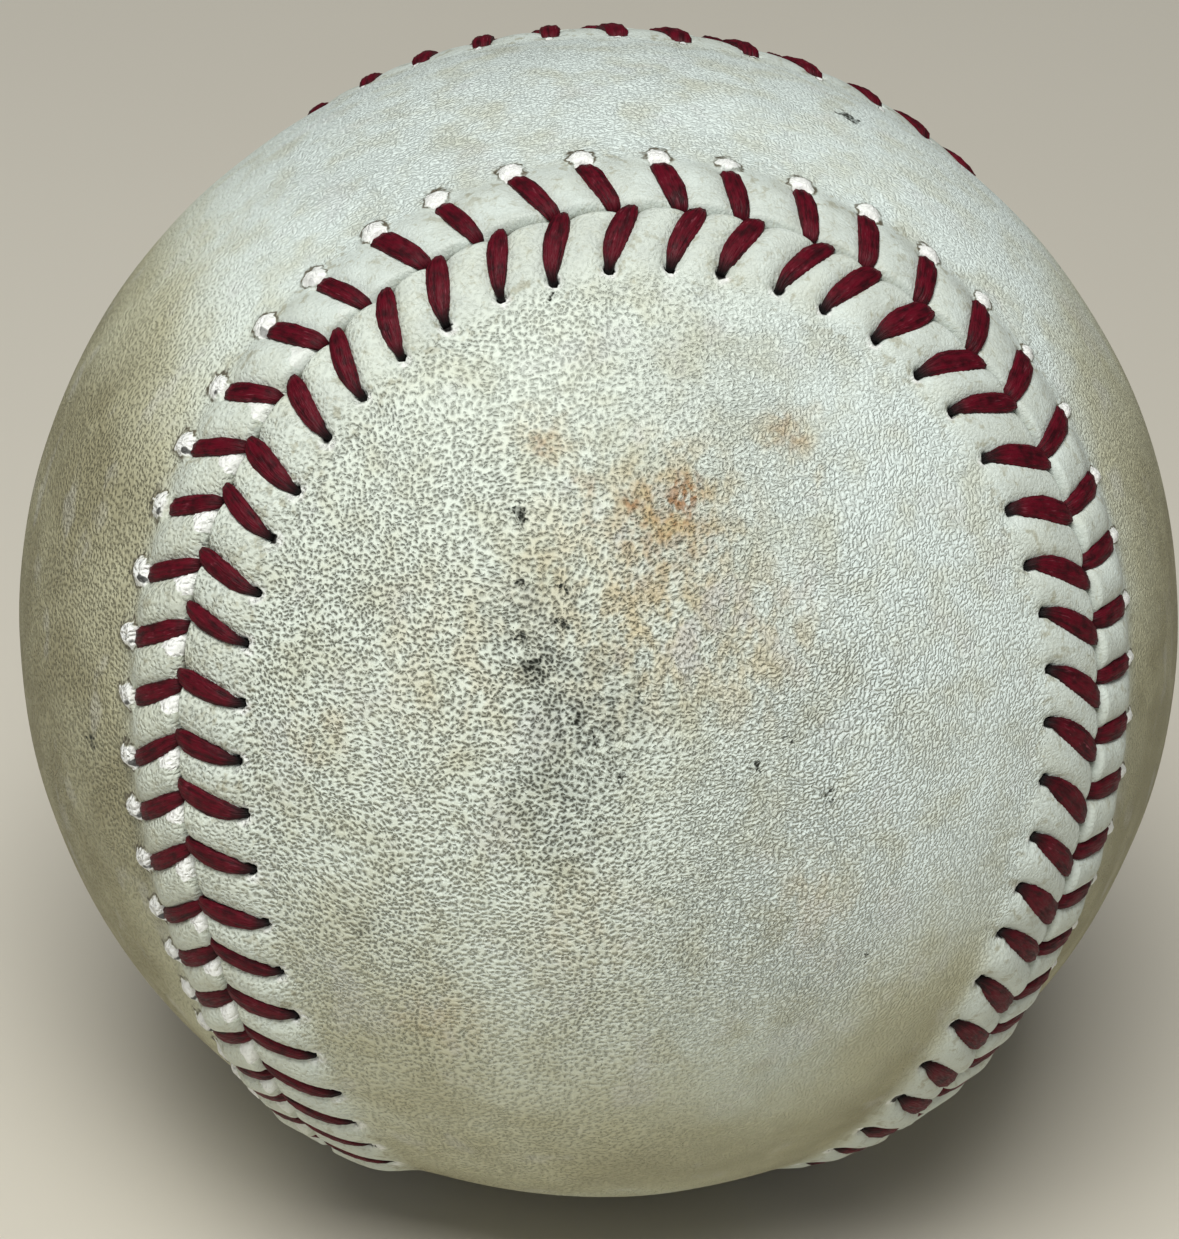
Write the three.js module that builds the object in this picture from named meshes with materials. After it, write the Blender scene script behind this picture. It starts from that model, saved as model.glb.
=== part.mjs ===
// A hand-sewn baseball. A cork core in two layers of rubber is wound with four yarns,
// and two figure-eight leather panels close over the wound ball, laced edge to edge
// by two waxed threads. Millimetres, +Z up, origin at the ball's centre.
//
// +Z runs up through the waists of both panels. The lower panel has its lobes at the
// front and back (-Y and +Y) and its waist under the ball, and the upper panel has its
// lobes at the sides (-X and +X) and its waist over the top.

import * as THREE from "three";

// Driving dimensions, from the middle of the ball outwards
const CORE_RADIUS = 10.3; // composition cork
const INNER_RUBBER_WALL = 3.7; // black half-shells
const WASHER_THICKNESS = 1.0; // red ring between the rims of the black half-shells
const OUTER_RUBBER_WALL = 2.1; // red half-shells
const FIRST_WINDING_DEPTH = 14.0; // four-ply grey wool
const SECOND_WINDING_DEPTH = 1.4; // three-ply white wool
const THIRD_WINDING_DEPTH = 1.6; // three-ply grey wool
const FINISH_WINDING_DEPTH = 0.4; // fine cotton finishing yarn
const YARN_EYE_RADIUS = 1.2; // where a winding's yarn end is tucked in
const LEATHER_THICKNESS = 1.3;
const LEATHER_EDGE_THICKNESS = 1.0; // the edge is pressed thinner under the thread
const LAYER_GAP = 0.3; // between one layer and the next

// The seam
const WAIST_WIDTH = 26.8; // from seam to seam across a panel's waist
const SEAM_RISE = 1.22; // how steeply the seam swings from one lobe to the next
const BACK_TURN = -9; // degrees that the back lobe was pulled round against the front one
const BACK_TIP = 4.5; // degrees that the back lobe's top was drawn down
const STITCH_COUNT = 108; // pairs of stitches round the ball
const STITCH_START = 0.22; // share of a stitch that the first one lies past the front lobe's top
const STITCH_DRIFT = 1.45; // stitches that the hand sewing runs ahead or behind at most
const HOLE_INSET = 4.1; // from the middle of the seam to the needle holes
const STITCH_LEAN = 2.0; // how far a stitch runs forward from its hole to the seam
const LIP_FADE = 2.4; // from the holes to where the raised lip of leather ends
const THREAD_WIDTH = 1.3;
const THREAD_THICKNESS = 0.45;
const THREAD_GAP = 0.2; // round the thread, in its holes and above the leather

// Facets
const ROUND_STEPS = 20; // round the vertical axis, and half as many from pole to pole
const PANEL_STEP = 7; // longest facet edge across the middle of a panel
const SEAM_SAMPLES = 2000; // for measuring the seam's length

// Layer radii
const innerRubberHollow = CORE_RADIUS + LAYER_GAP;
const innerRubberRadius = innerRubberHollow + INNER_RUBBER_WALL;
const outerRubberHollow = innerRubberRadius + LAYER_GAP;
const pillRadius = outerRubberHollow + OUTER_RUBBER_WALL;
const windingDepths = [
  FIRST_WINDING_DEPTH,
  SECOND_WINDING_DEPTH,
  THIRD_WINDING_DEPTH,
  FINISH_WINDING_DEPTH,
];
const woundRadius = windingDepths.reduce(
  (radius, depth) => radius + LAYER_GAP + depth,
  pillRadius,
);
const leatherHollow = woundRadius + LAYER_GAP;
const panelRadius = leatherHollow + LEATHER_THICKNESS;

// The thread's runs under and over the lifted leather edge
const threadUnderRadius = woundRadius + THREAD_GAP + THREAD_THICKNESS / 2;
const edgeHollow = threadUnderRadius + THREAD_THICKNESS / 2 + THREAD_GAP;
const edgeRadius = edgeHollow + LEATHER_EDGE_THICKNESS;
const threadOverRadius = edgeRadius + THREAD_GAP + THREAD_THICKNESS / 2;
const slotHalfDepth = THREAD_THICKNESS / 2 + THREAD_GAP; // across the seam
const slotHalfWidth = THREAD_WIDTH / 2 + THREAD_GAP; // along the seam
const crossingOffset = slotHalfWidth; // keeps the two threads apart where they cross

// Finishes
const finish = (color, roughness) =>
  new THREE.MeshStandardMaterial({ color, roughness, metalness: 0 });
const cork = finish(0xb08a5c, 0.9);
const blackRubber = finish(0x1d1c1b, 0.7);
const redRubber = finish(0x9c2f2a, 0.65);
const greyWool = finish(0x8b8984, 0.95);
const whiteWool = finish(0xe4dfd2, 0.95);
const finishCotton = finish(0xefe9da, 0.9);
const cowhide = finish(0xd9d8c8, 0.6);
const redThread = finish(0x7a0f24, 0.5);

const ball = new THREE.Group();

function place(name, geometry, material) {
  const mesh = new THREE.Mesh(geometry, material);
  mesh.name = name;
  ball.add(mesh);
  return mesh;
}

const UPRIGHT = new THREE.Vector3(0, 0, 1);
const RIGHTWARD = new THREE.Vector3(1, 0, 0);

// The middle line of the seam as a closed curve on the unit sphere. It starts at the top
// of the front lobe and runs to the right. Without the pull on the back lobe, a quarter turn
// about +Z, turned upside down, would carry it onto itself.
class SeamCurve extends THREE.Curve {
  constructor(waistWidth, rise, backTurn, backTip) {
    super();
    this.arcLengthDivisions = SEAM_SAMPLES;
    this.rise = rise;
    this.backTurn = THREE.MathUtils.degToRad(backTurn);
    this.backTip = THREE.MathUtils.degToRad(backTip);
    this.swing = 1 - rise * Math.tan(Math.asin(waistWidth / 2 / panelRadius));
  }

  getPoint(share, target = new THREE.Vector3()) {
    const turn = 2 * Math.PI * share;
    const towardsBack = ((1 - Math.cos(turn)) / 2) ** 2;
    return target
      .set(
        Math.sin(turn) + this.swing * Math.sin(3 * turn),
        -Math.cos(turn) + this.swing * Math.cos(3 * turn),
        this.rise * Math.cos(2 * turn),
      )
      .applyAxisAngle(RIGHTWARD, -this.backTip * towardsBack)
      .applyAxisAngle(UPRIGHT, this.backTurn * towardsBack)
      .normalize();
  }
}

const seam = new SeamCurve(WAIST_WIDTH, SEAM_RISE, BACK_TURN, BACK_TIP);
const seamLength = seam.getLength() * panelRadius;
const Side = { LOWER: 1, UPPER: -1 };
const POLE = Math.PI / 2;

// Share of the seam's length at which a stitch's holes lie. The sewing is closer on the left
// of the front lobe than on its right.
function stitchShare(number) {
  const drift = STITCH_DRIFT * Math.sin((2 * Math.PI * number) / STITCH_COUNT) ** 3;
  return (number + STITCH_START - drift) / STITCH_COUNT;
}

// The seam's own axes at a share of its length: out of the ball, along the seam, and
// across it into the lower panel.
function seamAxes(share) {
  const wrapped = share - Math.floor(share);
  const out = seam.getPointAt(wrapped);
  const along = seam.getTangentAt(wrapped);
  const across = new THREE.Vector3().crossVectors(along, out).normalize();
  return { out, along, across };
}

// The point at a radius, a distance across the seam from a share of its length.
function seamPoint(share, distance, radius) {
  const { out, across } = seamAxes(share);
  const angle = distance / panelRadius;
  return out
    .multiplyScalar(Math.cos(angle))
    .addScaledVector(across, Math.sin(angle))
    .multiplyScalar(radius);
}

// A closed surface that is gathered point by point. A row is a list of points with their
// share of the seam's length.
class Surface {
  constructor() {
    this.points = [];
    this.faces = [];
  }

  add(point) {
    this.points.push(point.x, point.y, point.z);
    return this.points.length / 3 - 1;
  }

  row(shares, pointAt) {
    return shares.map((share) => ({ share, index: this.add(pointAt(share)) }));
  }

  triangle(a, b, c, flipped) {
    this.faces.push(...(flipped ? [a, c, b] : [a, b, c]));
  }

  quad(a, b, c, d, flipped) {
    this.triangle(a, b, c, flipped);
    this.triangle(a, c, d, flipped);
  }

  // Fills the strip between two rows, going forward on the row whose next point comes first.
  zip(near, far, flipped) {
    let i = 0;
    let j = 0;
    while (i < near.length - 1 || j < far.length - 1) {
      const nextNear = near[i + 1]?.share ?? Infinity;
      const nextFar = far[j + 1]?.share ?? Infinity;
      if (nextNear <= nextFar) {
        this.triangle(near[i].index, near[i + 1].index, far[j].index, flipped);
        i += 1;
      } else {
        this.triangle(near[i].index, far[j + 1].index, far[j].index, flipped);
        j += 1;
      }
    }
  }

  geometry() {
    return new THREE.BufferGeometry()
      .setAttribute("position", new THREE.Float32BufferAttribute(this.points, 3))
      .setIndex(this.faces);
  }
}

const closed = (row) => [...row, { share: row[0].share + 1, index: row[0].index }];

// Points of an arc in the profile plane of a lathe, from one latitude to another in radians.
// Every layer shares the same latitudes, so that nested facets stay parallel.
function arc(radius, fromLatitude, toLatitude) {
  const step = (2 * Math.PI) / ROUND_STEPS;
  const latitudes = [fromLatitude];
  const rising = Math.sign(toLatitude - fromLatitude);
  for (let k = -ROUND_STEPS / 4; k <= ROUND_STEPS / 4; k += 1) {
    const latitude = rising * k * step;
    const inside = (latitude - fromLatitude) * rising > 0 && (toLatitude - latitude) * rising > 0;
    if (inside) latitudes.push(latitude);
  }
  latitudes.push(toLatitude);
  return latitudes.map(
    (latitude) =>
      new THREE.Vector2(
        Math.abs(latitude) >= POLE ? 0 : radius * Math.cos(latitude),
        radius * Math.sin(latitude),
      ),
  );
}

// A lathe turns about +Y, so what it makes is tipped up to stand about +Z.
function turned(name, profile, material) {
  const mesh = place(name, new THREE.LatheGeometry(profile, ROUND_STEPS), material);
  mesh.rotation.x = Math.PI / 2;
  return mesh;
}

function halfShell(name, hollow, radius, rimHeight, material, upper) {
  const profile = [
    ...arc(radius, Math.asin(rimHeight / radius), POLE),
    ...arc(hollow, POLE, Math.asin(rimHeight / hollow)),
  ];
  profile.push(profile[0].clone());
  const mesh = turned(name, profile, material);
  if (!upper) mesh.rotation.x = -Math.PI / 2;
}

function washer(name, hollow, radius, thickness, material) {
  const half = thickness / 2;
  const corners = [
    [hollow, -half],
    [radius, -half],
    [radius, half],
    [hollow, half],
    [hollow, -half],
  ];
  turned(name, corners.map(([x, y]) => new THREE.Vector2(x, y)), material);
}

// A wound layer is one shell with an eye at the top.
function winding(name, hollow, depth, material) {
  const radius = hollow + depth;
  const profile = [
    ...arc(radius, -POLE, Math.acos(YARN_EYE_RADIUS / radius)),
    ...arc(hollow, Math.acos(YARN_EYE_RADIUS / hollow), -POLE),
  ];
  turned(name, profile, material);
}

// One figure-eight panel. Its edge runs along the whole seam, with a slot for the thread at
// every stitch, on a lip that the thread beneath it lifts.
function coverPanel(name, side, lobeShare) {
  const surface = new Surface();
  const slot = slotHalfWidth / seamLength;
  const stitches = Array.from({ length: STITCH_COUNT }, (_, i) => i);
  const slotShares = stitches.flatMap((i) => [stitchShare(i) - slot, stitchShare(i) + slot]);
  const lipShares = stitches.map((i) => stitchShare(i + 0.5));
  const nearHole = HOLE_INSET - slotHalfDepth;
  const farHole = HOLE_INSET + slotHalfDepth;
  const lipEnd = HOLE_INSET + LIP_FADE;

  const skin = (edge, middle, flipped) => {
    const ring = (shares, distance, radius) =>
      surface.row(shares, (share) => seamPoint(share, side * distance, radius));
    const rows = {
      edge: ring(slotShares, slotHalfDepth, edge),
      near: ring(slotShares, nearHole, edge),
      far: ring(slotShares, farHole, edge),
      lip: ring(lipShares, lipEnd, middle),
    };
    surface.zip(closed(rows.edge), closed(rows.near), flipped);
    const near = closed(rows.near);
    const far = closed(rows.far);
    for (const i of stitches) {
      const between = [2 * i + 1, 2 * i + 3];
      surface.zip(near.slice(...between), far.slice(...between), flipped);
    }
    surface.zip(closed(rows.far), closed(rows.lip), flipped);
    fillMiddle(rows.lip, middle, flipped);
    return rows;
  };

  // Rungs join the points that face each other across the panel's long middle line. With an
  // odd number of stitches the last rung is a single point.
  const fillMiddle = (lip, radius, flipped) => {
    const first = Math.round(lobeShare * STITCH_COUNT);
    const rungCount = Math.ceil(lip.length / 2);
    const at = (i) => lip[((i % lip.length) + lip.length) % lip.length];
    const corner = ({ index }) => new THREE.Vector3().fromArray(surface.points, 3 * index);
    const rung = (k) => {
      const left = at(first - 1 - k);
      const right = at(first + k);
      if (left === right) return [{ share: 0, index: left.index }];
      const [from, to] = [corner(left), corner(right)];
      const ends = k === 0 || k === rungCount - 1;
      const steps = ends ? 1 : Math.ceil(from.distanceTo(to) / PANEL_STEP);
      const shares = Array.from({ length: steps + 1 }, (_, j) => j / steps);
      const inner = shares.slice(1, -1);
      return [
        { share: 0, index: left.index },
        ...surface.row(inner, (share) => from.clone().lerp(to, share).setLength(radius)),
        { share: 1, index: right.index },
      ];
    };
    let last = rung(0);
    for (let k = 1; k < rungCount; k += 1) {
      const next = rung(k);
      surface.zip(last, next, flipped);
      last = next;
    }
  };

  const outside = side === Side.LOWER;
  const outer = skin(edgeRadius, panelRadius, outside);
  const inner = skin(edgeHollow, leatherHollow, !outside);
  surface.zip(closed(outer.edge), closed(inner.edge), !outside);
  for (const i of stitches) {
    const [a, b] = [2 * i, 2 * i + 1];
    const loop = (rows) =>
      [rows.near[a], rows.near[b], rows.far[b], rows.far[a]].map((p) => p.index);
    const [top, bottom] = [loop(outer), loop(inner)];
    for (let k = 0; k < top.length; k += 1) {
      const n = (k + 1) % top.length;
      surface.quad(top[k], top[n], bottom[n], bottom[k], outside);
    }
  }
  place(name, surface.geometry(), cowhide);
}

// One thread. Each stitch comes up through a hole, runs over the leather to the seam, goes
// down between the edges and crosses under the other panel to that panel's next hole.
function thread(name, firstSide) {
  const surface = new Surface();
  const sections = [];

  // A section where the thread turns from one direction to the next in the plane across the
  // seam. Directions are [towards the lower panel, outwards].
  const bend = (travel, distance, radius, before, after) => {
    const share = travel / seamLength;
    const { out, along, across } = seamAxes(share);
    const middle = seamPoint(share, distance, radius);
    const half = THREAD_THICKNESS / 2;
    const sideways = -half * (before[1] + after[1]);
    const outwards = half * (before[0] + after[0]);
    const left = across.multiplyScalar(sideways).addScaledVector(out, outwards);
    const forward = along.multiplyScalar(THREAD_WIDTH / 2);
    const corners = [
      [-1, 1],
      [1, 1],
      [1, -1],
      [-1, -1],
    ];
    sections.push(
      corners.map(([f, l]) =>
        surface.add(middle.clone().addScaledVector(forward, f).addScaledVector(left, l)),
      ),
    );
  };

  const up = [0, 1];
  const down = [0, -1];
  for (let i = 0; i < STITCH_COUNT; i += 1) {
    const side = i % 2 === 0 ? firstSide : -firstSide;
    const hole = stitchShare(i) * seamLength;
    const crossing = hole + STITCH_LEAN + side * crossingOffset;
    const toPanel = [side, 0];
    const toSeam = [-side, 0];
    bend(hole, side * HOLE_INSET, threadUnderRadius, toPanel, up);
    bend(hole, side * HOLE_INSET, threadOverRadius, up, toSeam);
    bend(crossing, 0, threadOverRadius, toSeam, down);
    bend(crossing, 0, threadUnderRadius, down, toSeam);
  }

  const first = sections[0];
  const last = sections[sections.length - 1];
  surface.quad(...first, false);
  surface.quad(...last, true);
  for (let i = 0; i + 1 < sections.length; i += 1) {
    for (let k = 0; k < first.length; k += 1) {
      const n = (k + 1) % first.length;
      surface.quad(sections[i][k], sections[i][n], sections[i + 1][n], sections[i + 1][k], true);
    }
  }
  place(name, surface.geometry(), redThread);
}

// The pill
turned("cork_core", arc(CORE_RADIUS, -POLE, POLE), cork);
const blackRim = WASHER_THICKNESS / 2 + LAYER_GAP;
halfShell("black_rubber_shell_upper", innerRubberHollow, innerRubberRadius, blackRim, blackRubber, true);
halfShell("black_rubber_shell_lower", innerRubberHollow, innerRubberRadius, blackRim, blackRubber, false);
washer("red_rubber_washer", innerRubberHollow, innerRubberRadius, WASHER_THICKNESS, redRubber);
const redRim = LAYER_GAP / 2;
halfShell("red_rubber_shell_upper", outerRubberHollow, pillRadius, redRim, redRubber, true);
halfShell("red_rubber_shell_lower", outerRubberHollow, pillRadius, redRim, redRubber, false);

// The windings
const windingNames = [
  ["first_winding_grey_wool", greyWool],
  ["second_winding_white_wool", whiteWool],
  ["third_winding_grey_wool", greyWool],
  ["finish_winding_cotton", finishCotton],
];
let wound = pillRadius;
windingNames.forEach(([name, material], i) => {
  winding(name, wound + LAYER_GAP, windingDepths[i], material);
  wound += LAYER_GAP + windingDepths[i];
});

// The cover and its lacing
const FRONT_LOBE = 0;
const RIGHT_LOBE = 0.25;
coverPanel("cover_panel_lower", Side.LOWER, FRONT_LOBE);
coverPanel("cover_panel_upper", Side.UPPER, RIGHT_LOBE);
thread("lacing_thread_one", Side.LOWER);
thread("lacing_thread_two", Side.UPPER);

export default ball;
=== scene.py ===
"""Dresses a hand-sewn baseball: pored cowhide panels, waxed red lacing, wound yarns and the pill."""

import logging
import math
from dataclasses import dataclass, field
from enum import Enum
from functools import partial, reduce
from typing import ClassVar, NamedTuple, Union

import bmesh
import bpy
import numpy as np
from mathutils import Matrix, Vector, noise

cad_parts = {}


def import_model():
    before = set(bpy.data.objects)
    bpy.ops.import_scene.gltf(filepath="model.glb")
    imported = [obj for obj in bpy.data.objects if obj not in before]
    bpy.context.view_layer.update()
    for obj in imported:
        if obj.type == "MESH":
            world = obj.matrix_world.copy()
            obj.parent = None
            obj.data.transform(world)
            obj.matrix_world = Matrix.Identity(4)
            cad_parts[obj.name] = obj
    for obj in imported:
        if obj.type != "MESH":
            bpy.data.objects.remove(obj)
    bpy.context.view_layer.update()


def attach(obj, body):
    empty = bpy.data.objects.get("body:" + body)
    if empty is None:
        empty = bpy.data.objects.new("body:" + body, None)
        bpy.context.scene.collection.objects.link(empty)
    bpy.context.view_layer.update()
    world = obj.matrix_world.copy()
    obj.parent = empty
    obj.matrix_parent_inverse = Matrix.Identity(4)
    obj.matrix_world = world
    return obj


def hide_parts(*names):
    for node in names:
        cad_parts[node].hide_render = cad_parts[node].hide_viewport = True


log = logging.getLogger("baseball")

# Metres in a millimetre, and the names that the frame and the meshes use
MM = 0.001
BODY = "root"
MERGE_DISTANCE = 0.001
STRAND_MAP = "strand"
STRAND_STEP = 10.0
NOWHERE = (0.0, 0.0, 0.0)

# Short names of types
Colour = tuple[float, float, float, float]
Direction = tuple[float, float, float]
Socket = bpy.types.NodeSocket
Feed = Union[Socket, float, Colour, Direction, Vector]
Shaper = bmesh.types.BMesh
Ring = list[bmesh.types.BMVert]
Layers = dict[str, bmesh.types.BMLayerItem]


def srgb(red: int, green: int, blue: int) -> Colour:
    """Turns a colour as it looks on a screen into the linear colour that a shader takes.

    Args:
        red: Red from 0 to 255.
        green: Green from 0 to 255.
        blue: Blue from 0 to 255.

    Returns:
        The linear colour with full alpha.
    """
    def linear(level: int) -> float:
        """Returns one channel as a linear value."""
        share = level / 255
        return share / 12.92 if share <= 0.04045 else ((share + 0.055) / 1.055) ** 2.4

    return (linear(red), linear(green), linear(blue), 1.0)


def ease(low: float, high: float, value: np.ndarray) -> np.ndarray:
    """Returns a share that rises smoothly from 0 at low to 1 at high."""
    share = np.clip((value - low) / (high - low), 0.0, 1.0)
    return share * share * (3 - 2 * share)


def bell(value: np.ndarray, middle: float, width: float) -> np.ndarray:
    """Returns a bump of height 1 at the middle that fades over the width."""
    return np.exp(-(((value - middle) / width) ** 2))


class Side(Enum):
    """Which cover panel: the one with its waist under the ball, or over it."""

    LOWER = 1
    UPPER = -1

    @property
    def other(self) -> "Side":
        """Returns the panel across the seam."""
        return Side(-self.value)


class Half(Enum):
    """Which half of a rubber layer."""

    UPPER = 1
    LOWER = -1


@dataclass(frozen=True)
class BallSizes:
    """The ball's sizes in millimetres, the same as the solids have."""

    radius: float = 36.9
    leather: float = 1.3
    waist_width: float = 26.8
    seam_rise: float = 1.22
    back_turn: float = -9.0
    back_tip: float = 4.5
    stitch_count: int = 108
    stitch_start: float = 0.22
    stitch_drift: float = 1.45
    hole_inset: float = 4.1
    stitch_lean: float = 2.0
    thread_width: float = 1.28
    thread_thickness: float = 0.62


class SeamLine:
    """The closed middle line of the seam, measured along its length."""

    SAMPLES = 8000

    def __init__(self, sizes: BallSizes) -> None:
        """Samples the line once.

        Args:
            sizes: The ball's sizes.
        """
        self.sizes = sizes
        turn = np.linspace(0.0, math.tau, self.SAMPLES + 1)
        half_waist = math.asin(sizes.waist_width / 2 / sizes.radius)
        swing = 1 - sizes.seam_rise * math.tan(half_waist)
        across = np.sin(turn) + swing * np.sin(3 * turn)
        back = -np.cos(turn) + swing * np.cos(3 * turn)
        up = sizes.seam_rise * np.cos(2 * turn)
        towards_back = ((1 - np.cos(turn)) / 2) ** 2
        tip = math.radians(sizes.back_tip) * towards_back
        back, up = back * np.cos(tip) + up * np.sin(tip), up * np.cos(tip) - back * np.sin(tip)
        pull = math.radians(sizes.back_turn) * towards_back
        across, back = (
            across * np.cos(pull) - back * np.sin(pull),
            across * np.sin(pull) + back * np.cos(pull),
        )
        line = np.stack([across, back, up], axis=1)
        self.line = line / np.linalg.norm(line, axis=1, keepdims=True)
        steps = np.linalg.norm(np.diff(self.line, axis=0), axis=1)
        self.travel = np.concatenate([[0.0], np.cumsum(steps)])
        self.length = self.travel[-1] * sizes.radius
        self.pitch = self.length / sizes.stitch_count

    def axes(self, share: np.ndarray) -> tuple[np.ndarray, np.ndarray, np.ndarray]:
        """Gives the seam's own axes.

        Args:
            share: Shares of the seam's length, from the top of the front lobe.

        Returns:
            Unit vectors out of the ball, along the seam, and across it into the lower panel.
        """
        def at(places: np.ndarray) -> np.ndarray:
            """Returns the points at shares of the length."""
            travel = (places % 1.0) * self.travel[-1]
            return np.stack([np.interp(travel, self.travel, c) for c in self.line.T], axis=-1)

        def unit(vectors: np.ndarray) -> np.ndarray:
            """Returns the vectors at length 1."""
            return vectors / np.linalg.norm(vectors, axis=-1, keepdims=True)

        small = 0.5 / self.sizes.stitch_count / 16
        out = unit(at(share))
        along = unit(at(share + small) - at(share - small))
        across = unit(np.cross(along, out))
        return out, along, across

    def point(self, share: np.ndarray, offset: np.ndarray, radius: np.ndarray) -> np.ndarray:
        """Gives points beside the seam.

        Args:
            share: Shares of the seam's length.
            offset: Millimetres across the seam, towards the lower panel.
            radius: Distances from the ball's centre, in millimetres.

        Returns:
            The points in millimetres.
        """
        out, _, across = self.axes(share)
        angle = (offset / self.sizes.radius)[..., None]
        return (out * np.cos(angle) + across * np.sin(angle)) * radius[..., None]


class Stitching:
    """Where every stitch lies. Hand sewing leaves each one a little out of line."""

    SEED = 108
    HOLE_WANDER = 0.13
    LEAN_WANDER = 0.18
    WIDTH_WANDER = 0.07
    WIDTH_PULL = 0.09
    PLUMP_WANDER = 0.16
    FRONT = (-0.3, 0.2)
    BACK_PLUMP = 0.55
    FLAT_TOP = (0.45, 0.85)
    TOP_FLAT = 0.45
    BACK_TEAR = 0.3
    FRONT_TEAR = 0.7
    TORN_RIGHT = (0.3, 0.65)
    RIGHT_TEAR = 0.4
    TORN_TOP = (0.45, 0.8)
    TOP_TEAR = 0.22
    LEAN_CURVE = 1.15
    HOLE_PULL = 0.72
    SEAM_ENDS = {Side.LOWER: 1.95, Side.UPPER: 1.15}

    def __init__(self, seam: SeamLine) -> None:
        """Draws the small errors of the sewing.

        Args:
            seam: The seam that is sewn.
        """
        self.seam = seam
        self.sizes = seam.sizes
        draw = np.random.default_rng(self.SEED)
        count = self.sizes.stitch_count
        pull = np.sin(4 * math.pi * np.arange(count) / count)
        self.hole_along, self.hole_across, self.lean = {}, {}, {}
        self.width_share, self.plump = {}, {}
        out, _, _ = seam.axes(np.arange(count) / count)
        front = 1 - ease(*self.FRONT, out[:, 1])
        right = ease(*self.TORN_RIGHT, out[:, 0])
        self.tear = self.BACK_TEAR + front * (self.FRONT_TEAR - self.RIGHT_TEAR * right)
        self.tear *= 1 - self.TOP_TEAR * ease(*self.TORN_TOP, out[:, 2])
        full = self.BACK_PLUMP + (1 - self.BACK_PLUMP) * front
        for side in Side:
            skew = side.value * self.HOLE_PULL * pull
            self.hole_along[side] = draw.normal(0.0, self.HOLE_WANDER, count) - skew
            self.hole_across[side] = draw.normal(0.0, self.HOLE_WANDER, count)
            self.lean[side] = self.SEAM_ENDS[side] + skew + draw.normal(0.0, self.LEAN_WANDER, count)
            self.width_share[side] = 1 + self.WIDTH_PULL * pull + draw.normal(0.0, self.WIDTH_WANDER, count)
            self.plump[side] = (1 + draw.normal(0.0, self.PLUMP_WANDER, count)) * full
        self.plump[Side.UPPER] *= 1 - self.TOP_FLAT * ease(*self.FLAT_TOP, out[:, 2])

    def place(self, number: np.ndarray) -> np.ndarray:
        """Gives the places of stitches. They are closer on the left of the front lobe.

        Args:
            number: Stitch numbers.

        Returns:
            Millimetres along the seam.
        """
        turn = math.tau * number / self.sizes.stitch_count
        drift = self.sizes.stitch_drift * np.sin(turn) ** 3
        return (number + self.sizes.stitch_start - drift) * self.seam.pitch

    def run(self, side: Side, stitch: np.ndarray, inset: float) -> np.ndarray:
        """Returns how far a stitch lies ahead of its place, in millimetres along the seam."""
        back = 1 - min(max(inset / self.sizes.hole_inset, 0.0), 1.0)
        return self.hole_along[side][stitch] + self.lean[side][stitch] * back**self.LEAN_CURVE

    def phase(self, side: Side, share: np.ndarray, inset: float) -> np.ndarray:
        """Numbers the places along the seam so that every stitch lies on a whole number.

        Args:
            side: The panel.
            share: Shares of the seam's length.
            inset: Millimetres from the seam.

        Returns:
            The stitch number at each share, with its fraction.
        """
        count = self.sizes.stitch_count
        numbers = np.arange(-3, count + 3)
        places = self.place(numbers) + self.run(side, numbers % count, inset)
        return np.interp(share * self.seam.length, places, numbers)


@dataclass(frozen=True)
class SewnEdge:
    """How one panel's leather takes the stitches, in millimetres."""

    lip_start: float
    lip_end: float
    pillow_full: float
    pillow_end: float
    pit_out: float
    pit_along: float
    pit_across: float
    pit_depth: float
    tuft_out: float
    tuft_along: float
    tuft_across: float
    tuft_height: float


# The lower panel's holes are almost clean, and the upper panel's are torn open
SEWN_EDGES = {
    Side.LOWER: SewnEdge(
        lip_start=1.0,
        lip_end=7.0,
        pillow_full=2.6,
        pillow_end=5.6,
        pit_out=0.1,
        pit_along=0.38,
        pit_across=0.4,
        pit_depth=0.8,
        tuft_out=0.35,
        tuft_along=0.6,
        tuft_across=0.5,
        tuft_height=0.1,
    ),
    Side.UPPER: SewnEdge(
        lip_start=2.4,
        lip_end=5.9,
        pillow_full=2.4,
        pillow_end=5.0,
        pit_out=-0.1,
        pit_along=0.5,
        pit_across=0.3,
        pit_depth=0.8,
        tuft_out=0.7,
        tuft_along=0.8,
        tuft_across=1.1,
        tuft_height=0.5,
    ),
}


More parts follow.
